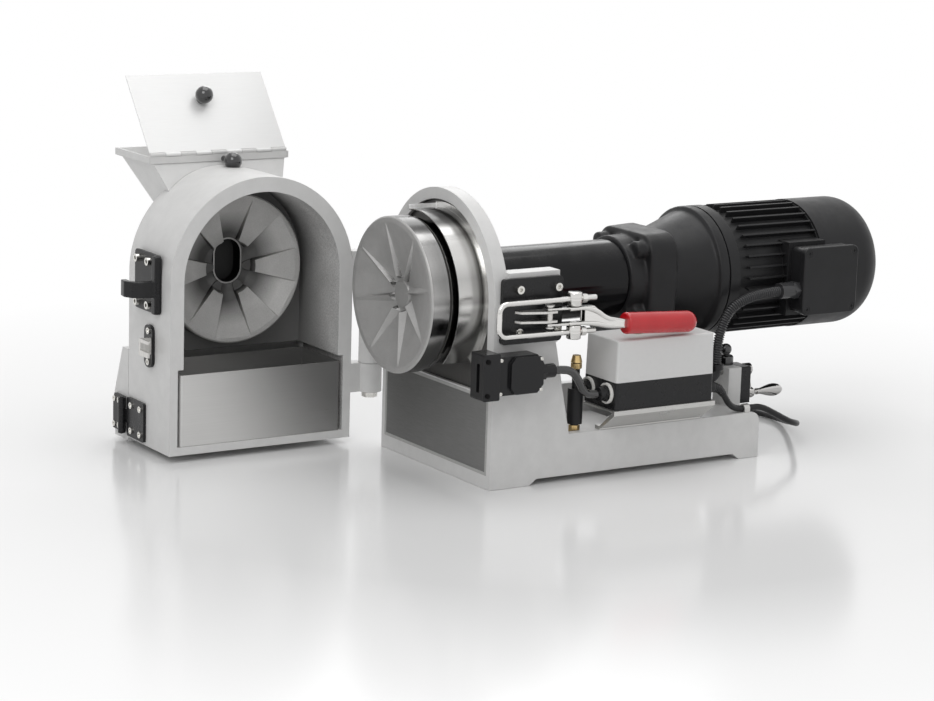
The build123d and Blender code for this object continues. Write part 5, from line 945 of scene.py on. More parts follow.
# ---------------------------------------------------------------- camera, lights and floor
@dataclass
class Studio:
    """The camera of the photograph, a pale floor and soft light.

    Attributes:
        focal_px: focal length in pixels of the photograph.
        width: its width in pixels.
        height: its height in pixels.
        centre_px: where the camera's axis meets the picture.
        azimuth: the camera's direction, from -Y towards +X, in degrees.
        elevation: its height above the horizon, in degrees.
        roll: its turn about its own axis, in degrees.
        distance: from the target, in metres.
        target: what it points at, in metres.
        floor_size: side of the floor, in metres.
        floor_shade: how pale the floor is.
        floor_gloss: roughness of the floor.
        floor_drop: how far it lies below the mill's feet, in metres.
        floor_middle: the point that its fade is measured from, in metres.
        fade: distances from the mill at which the floor starts and ends turning white.
        room_light: how much light the room gives the mill.
        lamps: name, place, side and power of each lamp.
        aim: the point that the lamps face.
    """

    focal_px: float = 2747.43
    width: float = 934.0
    height: float = 701.0
    centre_px: tuple[float, float] = (465.785, 353.369)
    azimuth: float = 57.434
    elevation: float = 11.605
    roll: float = 1.777
    distance: float = 3.55833
    target: Point = (0.0, 0.044476, 0.147684)
    floor_size: float = 14.0
    floor_shade: float = 0.86
    floor_gloss: float = 0.16
    floor_drop: float = 0.0002
    floor_middle: Point = (0.0, 0.15, 0.0)
    fade: tuple[float, float] = (0.62, 1.25)
    room_light: float = 0.50
    lamps: tuple[tuple[str, Point, float, float], ...] = (
        ("key_lamp", (1.9, -2.1, 2.6), 1.8, 34.0), ("top_lamp", (-0.2, 0.3, 2.9), 2.2, 30.0),
        ("back_lamp", (-2.2, 1.4, 1.9), 1.4, 14.0))
    aim: Point = (0.0, 0.15, 0.15)

    def camera(self) -> bpy.types.Object:
        """Set up the camera that took the photograph.

        Returns:
            The camera.
        """
        data = bpy.data.cameras.new("camera")
        data.sensor_width = 36.0
        data.lens = self.focal_px / self.width * data.sensor_width
        data.shift_x = (self.width / 2 - self.centre_px[0]) / self.width
        data.shift_y = (self.centre_px[1] - self.height / 2) / self.width
        data.clip_start, data.clip_end = 0.1, 60.0
        made = bpy.data.objects.new("camera", data)
        bpy.context.scene.collection.objects.link(made)
        turn, lift = math.radians(self.azimuth), math.radians(self.elevation)
        back = Vector((math.sin(turn) * math.cos(lift), -math.cos(turn) * math.cos(lift), math.sin(lift)))
        made.location = Vector(self.target) + back * self.distance
        made.rotation_mode = "QUATERNION"
        roll = Quaternion((0, 0, 1), math.radians(self.roll))
        made.rotation_quaternion = (-back).to_track_quat("-Z", "Y") @ roll
        bpy.context.scene.camera = made
        return made

    def lamp(self, name: str, place: Point, size: float, power: float) -> None:
        """Hang one soft square lamp.

        Args:
            name: its name.
            place: where it hangs, in metres.
            size: its side, in metres.
            power: its power in watts.
        """
        data = bpy.data.lights.new(name, "AREA")
        data.shape, data.size, data.energy = "SQUARE", size, power
        made = bpy.data.objects.new(name, data)
        made.location = place
        made.rotation_mode = "QUATERNION"
        made.rotation_quaternion = (Vector(self.aim) - Vector(place)).to_track_quat("-Z", "Y")
        bpy.context.scene.collection.objects.link(made)

    def world(self) -> None:
        """Make the background white to the eye and the room light softer than that."""
        world = bpy.data.worlds.new("studio")
        bpy.context.scene.world = world
        world.use_nodes = True
        world.node_tree.nodes.clear()
        graph = Graph(world.node_tree)
        path = graph.node("ShaderNodeLightPath").outputs
        seen = graph.sum("MAXIMUM", path["Is Camera Ray"], graph.sum(
            "MAXIMUM", path["Is Glossy Ray"], path["Is Transmission Ray"]))
        colour = graph.blend(seen, (self.room_light,) * 3, (1.0, 1.0, 1.0))
        back = graph.node("ShaderNodeBackground", {"Color": colour, "Strength": 1.0})
        graph.node("ShaderNodeOutputWorld", {"Surface": back.outputs[0]})

    def floor(self) -> bpy.types.Object:
        """Lay a pale polished floor that turns into the white background further out.

        Returns:
            The floor.
        """
        half = self.floor_size / 2
        mesh = bpy.data.meshes.new("floor")
        corners = [(-half, -half, 0), (half, -half, 0), (half, half, 0), (-half, half, 0)]
        mesh.from_pydata(corners, [], [(0, 1, 2, 3)])
        made = bpy.data.objects.new("floor", mesh)
        made.location.z = -self.floor_drop
        bpy.context.scene.collection.objects.link(made)
        material = bpy.data.materials.new("floor")
        material.use_nodes = True
        material.node_tree.nodes.clear()
        graph = Graph(material.node_tree)
        coords = graph.node("ShaderNodeTexCoord").outputs["Object"]
        away = graph.vector("DISTANCE", coords, self.floor_middle).outputs["Value"]
        path = graph.node("ShaderNodeLightPath").outputs
        seen = graph.sum("MAXIMUM", path["Is Camera Ray"], path["Is Glossy Ray"])
        far = graph.sum("MULTIPLY", graph.span(away, *self.fade), seen)
        board = graph.node("ShaderNodeBsdfPrincipled", {
            "Base Color": (*(self.floor_shade,) * 3, 1), "Roughness": self.floor_gloss,
            "Specular IOR Level": 0.6})
        white = graph.node("ShaderNodeEmission", {"Color": (1, 1, 1, 1), "Strength": 1.0})
        shader = graph.node("ShaderNodeMixShader", {0: far, 1: board.outputs[0], 2: white.outputs[0]})
        graph.node("ShaderNodeOutputMaterial", {"Surface": shader.outputs[0]})
        mesh.materials.append(material)
        return made

    def build(self) -> None:
        """Set up everything round the mill."""
        self.camera()
        self.world()
        self.floor()
        for lamp in self.lamps:
            self.lamp(*lamp)
        bpy.context.scene.view_settings.view_transform = "Standard"


# ---------------------------------------------------------------- cables
def nurbs(name: str, points: Sequence[Point], fineness: int) -> bpy.types.Curve:
    """Lay a smooth line by its control points.

    Args:
        name: the curve's name.
        points: control points, in millimetres.
        fineness: points read for each stretch.

    Returns:
        The curve.
    """
    curve = bpy.data.curves.new(name, "CURVE")
    curve.dimensions = "3D"
    curve.resolution_u = fineness
    spline = curve.splines.new("NURBS")
    spline.points.add(len(points) - 1)
    for knot, point in zip(spline.points, points):
        knot.co = (*metres(point), 1.0)
    spline.order_u = 3
    spline.use_endpoint_u = True
    return curve


def spline_curve(name: str, points: Sequence[Point], radius: float, body: str,
                 finish: Finish) -> bpy.types.Object:
    """Make a round cable along a smooth line.

    Args:
        name: the piece's name.
        points: control points of the line, in millimetres.
        radius: the cable's radius in millimetres.
        body: the body that it rides on.
        finish: its finish.

    Returns:
        The curve object.
    """
    curve = nurbs(name, points, 8)
    curve.bevel_depth, curve.bevel_resolution, curve.use_fill_caps = radius * MM, 7, True
    curve.materials.append(finish.material())
    piece = bpy.data.objects.new(name, curve)
    attach(piece, body)
    return piece


def read_line(points: Sequence[Point], fineness: int = 24) -> list[Vector]:
    """Read the smooth line through control points as a list of points in metres.

    Args:
        points: control points, in millimetres.
        fineness: points read for each stretch.

    Returns:
        Points along the line.
    """
    curve = nurbs("line", points, fineness)
    holder = bpy.data.objects.new("line", curve)
    mesh = bpy.data.meshes.new_from_object(holder)
    line = [vertex.co.copy() for vertex in mesh.vertices]
    bpy.data.meshes.remove(mesh)
    bpy.data.objects.remove(holder)
    bpy.data.curves.remove(curve)
    return line


def line_length(line: Sequence[Vector]) -> float:
    """Give the length of a line of points, in metres."""
    return sum((b - a).length for a, b in zip(line, line[1:]))


def along_line(line: Sequence[Vector], step: float, length: float | None = None) -> list[Vector]:
    """Space points evenly along a line.

    Args:
        line: points of the line.
        step: distance between the new points, in metres.
        length: how much of the line is used; all of it if left out.

    Returns:
        The evenly spaced points.
    """
    total = line_length(line) if length is None else length
    count = max(2, round(total / step))
    wanted = [total * k / count for k in range(count + 1)]
    found, run, index = [], 0.0, 0
    for goal in wanted:
        while index < len(line) - 2 and run + (line[index + 1] - line[index]).length < goal:
            run += (line[index + 1] - line[index]).length
            index += 1
        part = line[index + 1] - line[index]
        found.append(line[index] + part * min(1.0, (goal - run) / max(part.length, 1e-9)))
    return found


@dataclass
class Cables:
    """The mains cable with its coil and plug, the switch cable and the motor's conduit.

    Attributes:
        radius: of the mains cable, in millimetres; all the sizes here are.
        switch_radius: of the switch cable.
        lead: control points of the mains cable from its gland to its clip.
        run: those from the clip to the coil.
        coil_centre: middle of the coil's lowest turns.
        coil_outer: radius of its outer turn.
        coil_pitch: distance from turn to turn.
        coil_rise: height of its upper layer above its lower one.
        coil_from: angle where it starts, in degrees.
        coil_step: angle between its control points.
        loops_in: turns of its lower layer, wound inwards.
        loops_out: turns of its upper layer, wound outwards.
        coil_ease: straight run before and after the coil.
        approach: distance from the coil's start to the control point before it.
        tail: distances of the last control points beyond the coil.
        tail_drift: how far the last two lie towards -X.
        plug_lift: rise of the cable to the plug.
        switch_run: control points of the switch cable.
        conduit_x: where the conduit's plane lies.
        conduit_route: y and z of its control points.
        rib_pitch: distance from rib to rib.
        rib_shape: radii along one rib.
        plug_neck: radius where the plug starts on its cable.
        plug_ribs: places of the edges of the ribs on the plug's relief.
        plug_taper: radius of the ribs at the neck, and what they gain over the relief's length.
        plug_relief: the relief's length.
        plug_groove: depth of the grooves between the ribs.
        plug_body: place and radius along the plug's body.
        plug_pin: the same along a pin.
        pin_apart: distance of a pin from the plug's axis.
        pins_from: place along the plug beyond which it is metal.
        tie_angle: where the coil's strap sits, in degrees.
        tie_middle: distance of its middle from the coil's.
        tie_half: half its width across the turns.
        tie_low: height of its underside.
        tie_high: height of its top.
        tie_corner: radius of its corners.
        tie_section: place along the turns and swelling of its edges.
        relief_from: where the gland's relief starts on the cable.
        relief_long: its length.
        relief_step: distance between its rings.
        relief_taper: its radius at the gland, and what it loses over its length.
        relief_groove: depth of its grooves.
        relief_grooved: shares of its length where they start and end.
    """

    palette: Palette
    radius: float = 4.25
    switch_radius: float = 5.3
    lead: tuple[Point, ...] = (
        (134, 324.5, 104), (134, 351, 104), (132, 366, 91), (129, 378, 75), (126, 394, 66.65),
        (126, 414, 66.65))
    run: tuple[Point, ...] = (
        (126, 435, 66.65), (126.5, 460, 54), (126, 486, 40.5), (117, 506, 34.5), (90, 527, 27), (55, 549, 19),
        (18, 570, 10), (-20, 586, 4.4), (-62, 584, 4.4), (-102, 568, 4.4))
    coil_centre: Point = (-175.0, 480.0, 4.4)
    coil_outer: float = 56.0
    coil_pitch: float = 10.4
    coil_rise: float = 9.1
    coil_from: float = 100.0
    coil_step: float = 18.0
    loops_in: float = 2.0
    loops_out: float = 1.75
    coil_ease: float = 9.0
    approach: float = 34.0
    tail: tuple[float, float, float] = (26.0, 54.0, 80.0)
    tail_drift: tuple[float, float] = (4.0, 8.0)
    plug_lift: float = 4.65
    switch_run: tuple[Point, ...] = (
        (151, 67, 152), (151, 88, 152), (150, 108, 149), (147, 122, 134), (143, 132, 118), (141, 146, 112),
        (141, 165.5, 112))
    conduit_x: float = 105.0
    conduit_route: tuple[tuple[float, float], ...] = (
        (478.5, 217.0), (411.8, 217.0), (372.0, 177.2), (372.0, 126.5))
    rib_pitch: float = 3.2
    rib_shape: tuple[float, ...] = (5.1, 5.3, 6.5, 6.9, 6.9, 6.3)
    plug_neck: float = 4.3
    plug_taper: tuple[float, float] = (5.4, 1.9)
    plug_relief: float = 24.0
    plug_groove: float = 0.9
    plug_ribs: tuple[float, ...] = (
        0, 1.6, 3.2, 3.6, 5.2, 6.8, 7.2, 8.8, 10.4, 10.8, 12.4, 14.0, 14.4, 16.0, 17.6, 18.0, 19.6, 21.2)
    plug_body: tuple[tuple[float, float], ...] = (
        (22.5, 11.0), (24.0, 13.2), (27.0, 15.6), (31.0, 17.2), (34.0, 17.9), (38.0, 17.9), (38.6, 17.3),
        (40.2, 17.3), (40.8, 17.9), (44.6, 17.9), (45.2, 17.3), (46.8, 17.3), (47.4, 17.9), (52.0, 17.9),
        (58.0, 17.9), (62.6, 17.6), (63.8, 16.6), (64.0, 15.4), (64.0, 0.0))
    plug_pin: tuple[tuple[float, float], ...] = (
        (60.0, 2.4), (79.0, 2.4), (81.6, 1.9), (82.6, 0.9), (82.9, 0.0))
    pin_apart: float = 9.5
    pins_from: float = 64.2
    tie_angle: float = 205.0
    tie_middle: float = 45.4
    tie_half: float = 14.6
    tie_low: float = 0.05
    tie_high: float = 18.6
    tie_corner: float = 3.6
    tie_section: tuple[tuple[float, float], ...] = (
        (-4.5, 0.0), (-4.1, 0.7), (4.1, 0.7), (4.5, 0.0), (4.5, -0.3), (-4.5, -0.3))
    relief_from: float = 16.3
    relief_long: float = 28.0
    relief_step: float = 0.8
    relief_taper: tuple[float, float] = (7.4, 2.4)
    relief_groove: float = 0.55
    relief_grooved: tuple[float, float] = (0.1, 0.92)

    def coil_point(self, angle: float) -> Vector:
        """Give the coil's middle line at a running angle.

        Args:
            angle: degrees from +X, going on from turn to turn.

        Returns:
            The point in millimetres.
        """
        inner = self.coil_outer - self.coil_pitch * self.loops_in
        climb = self.coil_from + 360 * self.loops_in
        if angle <= climb:
            radius, height = self.coil_outer - self.coil_pitch * (angle - self.coil_from) / 360, 0.0
        elif angle < climb + 180:
            radius, height = inner, self.coil_rise * (angle - climb) / 180
        else:
            radius, height = inner + self.coil_pitch * (angle - climb - 180) / 360, self.coil_rise
        turn = math.radians(angle)
        return Vector(self.coil_centre) + Vector((math.cos(turn) * radius, math.sin(turn) * radius, height))

    def mains_points(self) -> list[Point]:
        """List the control points of the mains cable from the switch box to its plug.

        Returns:
            The points, in millimetres.
        """
        last = self.coil_from + 360 * (self.loops_in + self.loops_out) + 180
        count = int((last - self.coil_from) / self.coil_step)
        coil = [self.coil_point(self.coil_from + self.coil_step * k) for k in range(count)]
        coil.append(self.coil_point(last))
        arrive = (coil[1] - coil[0]).normalized()
        arrive.z = 0
        leave = (coil[-1] - coil[-2]).normalized()
        start, end = coil[0] - arrive * self.coil_ease, coil[-1] + leave * self.coil_ease
        tail = [end, end + leave * self.tail[0]]
        for reach, drift in zip(self.tail[1:], self.tail_drift):
            tail.append(end + leave * reach + Vector((-drift, 0, self.plug_lift)))
        return [*self.lead, *self.run, *map(tuple, [start - arrive * self.approach, start, *coil, *tail])]

    def plug(self, at: Vector, heading: Vector) -> bpy.types.Object:
        """Mould the plug with its ribbed strain relief and two pins.

        Args:
            at: where the cable enters it, in metres.
            heading: the way it points.

        Returns:
            The plug.
        """
        thin, gain = self.plug_taper
        relief = [(along, thin + gain * along / self.plug_relief - (self.plug_groove if k % 2 else 0.0))
                  for k, along in enumerate(self.plug_ribs)]
        points, faces = lathe([(0.0, self.plug_neck), *relief, *self.plug_body], at, heading, 48)
        flat = heading.cross(Vector((0, 0, 1))).normalized()
        for side in (-self.pin_apart, self.pin_apart):
            pin, pin_faces = lathe(self.plug_pin, at + flat * side * MM, heading, 24)
            faces += [tuple(i + len(points) for i in face) for face in pin_faces]
            points += pin
        made = mesh_piece("mains_plug_body", points, faces, "stand", self.palette.plastic)
        made.data.materials.append(self.palette.bright.material())
        for face in made.data.polygons:
            if (face.center - at).dot(heading) > self.pins_from * MM:
                face.material_index = 1
        return made

    def tie(self) -> bpy.types.Object:
        """Wrap a strap round the coil's turns.

        Returns:
            The strap.
        """
        turn = math.radians(self.tie_angle)
        out = Vector((math.cos(turn), math.sin(turn), 0))
        along = Vector((-math.sin(turn), math.cos(turn), 0))
        corner = self.tie_corner
        right, upper, lower = self.tie_half - corner, self.tie_high - corner, self.tie_low + corner
        corners = ((right, upper, 0), (-right, upper, 90), (-right, lower, 180), (right, lower, 270))
        outline: list[tuple[float, float]] = []
        for cx, cz, first in corners:
            for bend in (math.radians(first + step) for step in range(0, 91, 15)):
                outline.append((cx + corner * math.cos(bend), cz + corner * math.sin(bend)))
        middle_height = (self.tie_low + self.tie_high) / 2
        points: list[Vector] = []
        for across, grow in self.tie_section:
            for x, z in outline:
                reach = self.tie_middle + x * (1 + grow / self.tie_half)
                height = max(0.02, z + grow * (1 if z > middle_height else -0.05))
                points.append(metres(Vector((*self.coil_centre[:2], 0)) + out * reach + along * across
                                     + Vector((0, 0, height))))
        count, rings = len(outline), len(self.tie_section)
        faces: list = []
        for k in range(rings):
            faces += ring_faces(k * count, (k + 1) % rings * count, count)
        return mesh_piece("coil_tie", points, faces, "stand", self.palette.cable)

    def relief(self, line: Sequence[Vector]) -> bpy.types.Object:
        """Mould the tapered strain relief where the mains cable leaves the switch box.

        Args:
            line: the cable's middle line.

        Returns:
            The relief.
        """
        start, length, step = self.relief_from * MM, self.relief_long * MM, self.relief_step * MM
        steps = along_line(line, step, start + length)
        steps = [p for k, p in enumerate(steps) if k * step >= start]
        (wide, loss), (first, last) = self.relief_taper, self.relief_grooved
        radii = []
        for k in range(len(steps)):
            share = k / (len(steps) - 1)
            groove = self.relief_groove if first < share < last and (k // 2) % 2 else 0.0
            radii.append((wide - loss * share - groove) * MM)
        points, faces = tube_mesh(steps, radii, 28)
        return mesh_piece("lead_relief", points, faces, "stand", self.palette.plastic)

    def conduit(self) -> bpy.types.Object:
        """Build the ribbed conduit from the motor's terminal box down to the elbow.

        Returns:
            The conduit.
        """
        line = read_line([(self.conduit_x, *at) for at in self.conduit_route])
        length = line_length(line)
        ribs, rings = round(length / (self.rib_pitch * MM)), len(self.rib_shape)
        steps = along_line(line, length / ribs / rings)
        radii = [self.rib_shape[k % rings] * MM for k in range(len(steps))]
        points, faces = tube_mesh(steps, radii, 26)
        made = mesh_piece("ribbed_conduit", points, faces, "drive", self.palette.conduit, 60.0)
        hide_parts("motor_conduit")
        return made

    def build(self) -> None:
        """Lay every cable."""
        points = self.mains_points()
        cable = spline_curve("mains_cable", points, self.radius, "stand", self.palette.cable)
        line = read_line(points)
        plug = self.plug(line[-1] - (line[-1] - line[-2]).normalized() * 0.001, line[-1] - line[-2])
        tie = self.tie()
        relief = self.relief(line)
        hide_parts("mains_lead", "mains_cord", "mains_coil")
        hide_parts("mains_plug")
        short = spline_curve("switch_cord", self.switch_run, self.switch_radius, "stand", self.palette.gloss)
        short_line = read_line(self.switch_run)
        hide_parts("switch_cable")
        self.conduit()
        LOG.info("cables: mains %.3f m, switch %.3f m", line_length(line), line_length(short_line))


# ---------------------------------------------------------------- grinding discs
@dataclass
class DiscMesh:
    """A disc whose working face is a height field, with a chamfered rim and a back.

    Attributes:
        centre: middle of the working face's plane, in millimetres.
        out: the way the working face looks.
        across: the first direction of its face; the second is up.
        radius: of the disc, in millimetres.
        thick: of the disc, in millimetres.
        height: relief above the face's plane at an angle in degrees and a radius.
        column: angle of a column of the mesh at a radius; columns follow the ridges.
        sides: how many columns there are.
        stations: radii of the mesh's rings, from the middle to the rim's chamfer.
        inner: radius of the bore at an angle; none if it is 0.
        settled: radius from which the rings are round in a bored disc.
        front_chamfer: how far in, and between which depths, the front edge of the rim is cut.
        back_chamfer: size of the cut on its back edge.
        back_hole: radius of the hole in the back of a disc without a bore.
    """

    centre: Point
    out: Point
    across: Point
    radius: float
    thick: float
    height: Callable[[float, float], float]
    column: Callable[[int, float], float]
    sides: int
    stations: Sequence[float]
    inner: Callable[[float], float] = lambda angle: 0.0
    settled: float = 0.0
    front_chamfer: tuple[float, float, float] = (0.5, 1.1, 1.9)
    back_chamfer: float = 0.8
    back_hole: float = 8.0

    def place(self, angle: float, radius: float, lift: float) -> Vector:
        """Turn face coordinates into a point in metres.

        Args:
            angle: degrees from the face's first direction.
            radius: distance from the middle.
            lift: height above the face's plane.

        Returns:
            The point.
        """
        turn = math.radians(angle)
        face = Vector(self.across) * math.cos(turn) * radius + Vector((0, 0, 1)) * math.sin(turn) * radius
        return metres(Vector(self.centre) + face + Vector(self.out) * lift)

    def spot(self, index: int, station: float) -> tuple[float, float]:
        """Find the angle and radius of a vertex, so that columns keep to the ridges beside the bore too.

        Args:
            index: number of the column.
            station: radius of the ring.

        Returns:
            Its angle and radius.
        """
        radius = station
        angle = self.column(index, radius)
        if station < self.settled:
            first = self.stations[0]
            share = (station - first) / (self.settled - first)
            for _ in range(4):
                low = self.inner(angle)
                radius = low + (self.settled - low) * share
                angle = self.column(index, radius)
        return angle, radius

    def build(self, name: str, body: str, finish: Finish, sharp: float = 28.0) -> bpy.types.Object:
        """Make the disc.

        Args:
            name: the piece's name.
            body: the body that it rides on.
            finish: its finish.
            sharp: angle above which its edges stay sharp.

        Returns:
            The disc.
        """
        bored = self.settled > 0
        points: list[Vector] = []
        faces: list = []
        for ring, station in enumerate(self.stations):
            spots = [self.spot(index, station) for index in range(self.sides)]
            points += [self.place(angle, radius, self.height(angle, radius)) for angle, radius in spots]
            if ring:
                faces += ring_faces((ring - 1) * self.sides, ring * self.sides, self.sides)
            else:
                edge = [angle for angle, _ in spots]
        rim = [self.column(index, self.stations[-1]) for index in range(self.sides)]
        inset, upper, lower = self.front_chamfer
        sections = [(self.radius - inset, -upper), (self.radius, -lower),
                    (self.radius, -self.thick + self.back_chamfer),
                    (self.radius - self.back_chamfer, -self.thick)]
        for radius, lift in sections:
            points += [self.place(angle, radius, lift) for angle in rim]
            faces += ring_faces(len(points) - 2 * self.sides, len(points) - self.sides, self.sides)
        points += [self.place(angle, self.inner(angle) if bored else self.back_hole, -self.thick)
                   for angle in edge]
        faces += ring_faces(len(points) - 2 * self.sides, len(points) - self.sides, self.sides)
        if bored:
            faces += ring_faces(len(points) - self.sides, 0, self.sides)
        else:
            faces.append(tuple(range(self.sides)))
            faces.append(tuple(reversed(range(len(points) - self.sides, len(points)))))
        return mesh_piece(name, points, faces, body, finish, sharp)


def clamp(value: float, low: float = 0.0, high: float = 1.0) -> float:
    """Hold a value between two others."""
    return max(low, min(high, value))


@dataclass
class TurningDisc:
    """The turning disc: a dished face with eight ridges that run out from a low hub.

    Attributes:
        radius: of the disc, in millimetres; all the sizes here are.
        face_y: plane of the rim.
        thick: of the disc.
        dish: depth of the middle behind the rim.
        dish_radius: outer radius of the dished face.
        hub_radius: radius of its flat middle.
        boss_radius: radius of the low boss on that.
        boss_height: its height.
        boss_slope: width of the slope round it.
        ridges: how many ridges there are.
        ridge_from: radius where the ridges start.
        ridge_to: radius where they run out.
        steep_foot: width of a ridge's steep side at its outer end, and what it gains inwards.
        slope_foot: the same for its sloping side.
        ridge_tall: the same for its height.
        crest: how round its crest is; 1 is sharp.
        fade_in: length over which a ridge rises at its inner end.
        fade_out: the same at its outer end.
        first: angle of the first ridge, in degrees.
        steep_columns: columns of the mesh on a steep side.
        slope_columns: those on a sloping side.
        ridge_columns: those from ridge to ridge.
        inner_rings: radii of the mesh's rings round the hub.
        ridge_rings: radius of the first ring on the ridges, step and number.
        outer_rings: radii of the rings near the rim.
    """

    palette: Palette
    radius: float = 100.2
    face_y: float = -70.5
    thick: float = 26.5
    dish: float = 18.0
    dish_radius: float = 92.0
    hub_radius: float = 20.0
    boss_radius: float = 16.0
    boss_height: float = 2.0
    boss_slope: float = 1.5
    ridges: int = 8
    ridge_from: float = 23.0
    ridge_to: float = 90.0
    steep_foot: tuple[float, float] = (1.6, 1.4)
    slope_foot: tuple[float, float] = (3.0, 5.0)
    ridge_tall: tuple[float, float] = (0.5, 7.5)
    crest: float = 0.9
    fade_in: float = 2.0
    fade_out: float = 1.0
    first: float = 12.0
    steep_columns: int = 4
    slope_columns: int = 8
    ridge_columns: int = 72
    inner_rings: tuple[float, ...] = (0.6, 5, 10, 14, 15.6, 16, 17.5, 17.8, 20, 21, 22, 23, 23.6)
    ridge_rings: tuple[float, float, int] = (24, 0.75, 88)
    outer_rings: tuple[float, ...] = (90, 90.5, 91, 92, 94, 96, 98.2)

    def section(self, radius: float) -> tuple[float, float, float]:
        """Give a ridge's feet and height.

        Args:
            radius: where, in millimetres.

        Returns:
            Its steep foot, sloping foot and height, in millimetres.
        """
        share = clamp((self.ridge_to - radius) / (self.ridge_to - self.ridge_from))
        sizes = (self.steep_foot, self.slope_foot, self.ridge_tall)
        return tuple(least + gain * share for least, gain in sizes)

    def column(self, index: int, radius: float) -> float:
        """Give the angle of a column, with columns along each ridge's feet and crest.

        Args:
            index: number of the column.
            radius: where, in millimetres.

        Returns:
            The angle in degrees.
        """
        pitch = 360 / self.ridges
        ridge, step = divmod(index, self.ridge_columns)
        steep, slope, _ = self.section(radius)
        held = max(radius, self.ridge_from)
        before, after = math.degrees(steep / held), math.degrees(slope / held)
        bend = self.steep_columns + self.slope_columns
        if step <= self.steep_columns:
            turn = before * (step / self.steep_columns - 1)
        elif step <= bend:
            turn = after * (step - self.steep_columns) / self.slope_columns
        else:
            turn = after + (pitch - before - after) * (step - bend) / (self.ridge_columns - bend)
        return self.first + pitch * ridge + turn

    def height(self, angle: float, radius: float) -> float:
        """Give the relief: the dish, the boss and the ridges with a steep and a sloping side.

        Args:
            angle: where, in degrees.
            radius: where, in millimetres.

        Returns:
            The height in millimetres.
        """
        base = -self.dish * clamp((self.dish_radius - radius) / (self.dish_radius - self.hub_radius))
        base += self.boss_height * clamp((self.boss_radius + self.boss_slope - radius) / self.boss_slope)
        if not self.ridge_from - self.fade_in < radius < self.ridge_to + self.fade_out:
            return base
        steep, slope, tall = self.section(radius)
        held = max(radius, self.ridge_from)
        tall *= clamp((radius - self.ridge_from + self.fade_in) / self.fade_in)
        tall *= clamp((self.ridge_to + self.fade_out - radius) / self.fade_out)
        pitch = 360 / self.ridges
        arc = math.radians((angle - self.first + pitch / 2) % pitch - pitch / 2) * held
        share = 1 - (arc / slope if arc > 0 else -arc / steep)
        return base + tall * clamp(share) ** self.crest

    def build(self) -> None:
        """Make the disc and dress its drum and shaft."""
        start, step, count = self.ridge_rings
        stations = [*self.inner_rings, *(start + step * k for k in range(count)), *self.outer_rings]
        disc = DiscMesh((0.0, self.face_y, AXIS_Z), (0, -1, 0), (1, 0, 0), self.radius, self.thick,
                        self.height, self.column, self.ridges * self.ridge_columns, stations)
        piece = disc.build("turning_disc", "rotor", self.palette.rotor)
        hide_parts("grinding_rotor")
        dress(self.palette.drum, "rotor_drum", material="drum_steel")
        dress(self.palette.gear, "main_shaft", "layshaft", "shaft_bearings", "motor_shaft")
        LOG.info("turning disc: %d ridges", self.ridges)


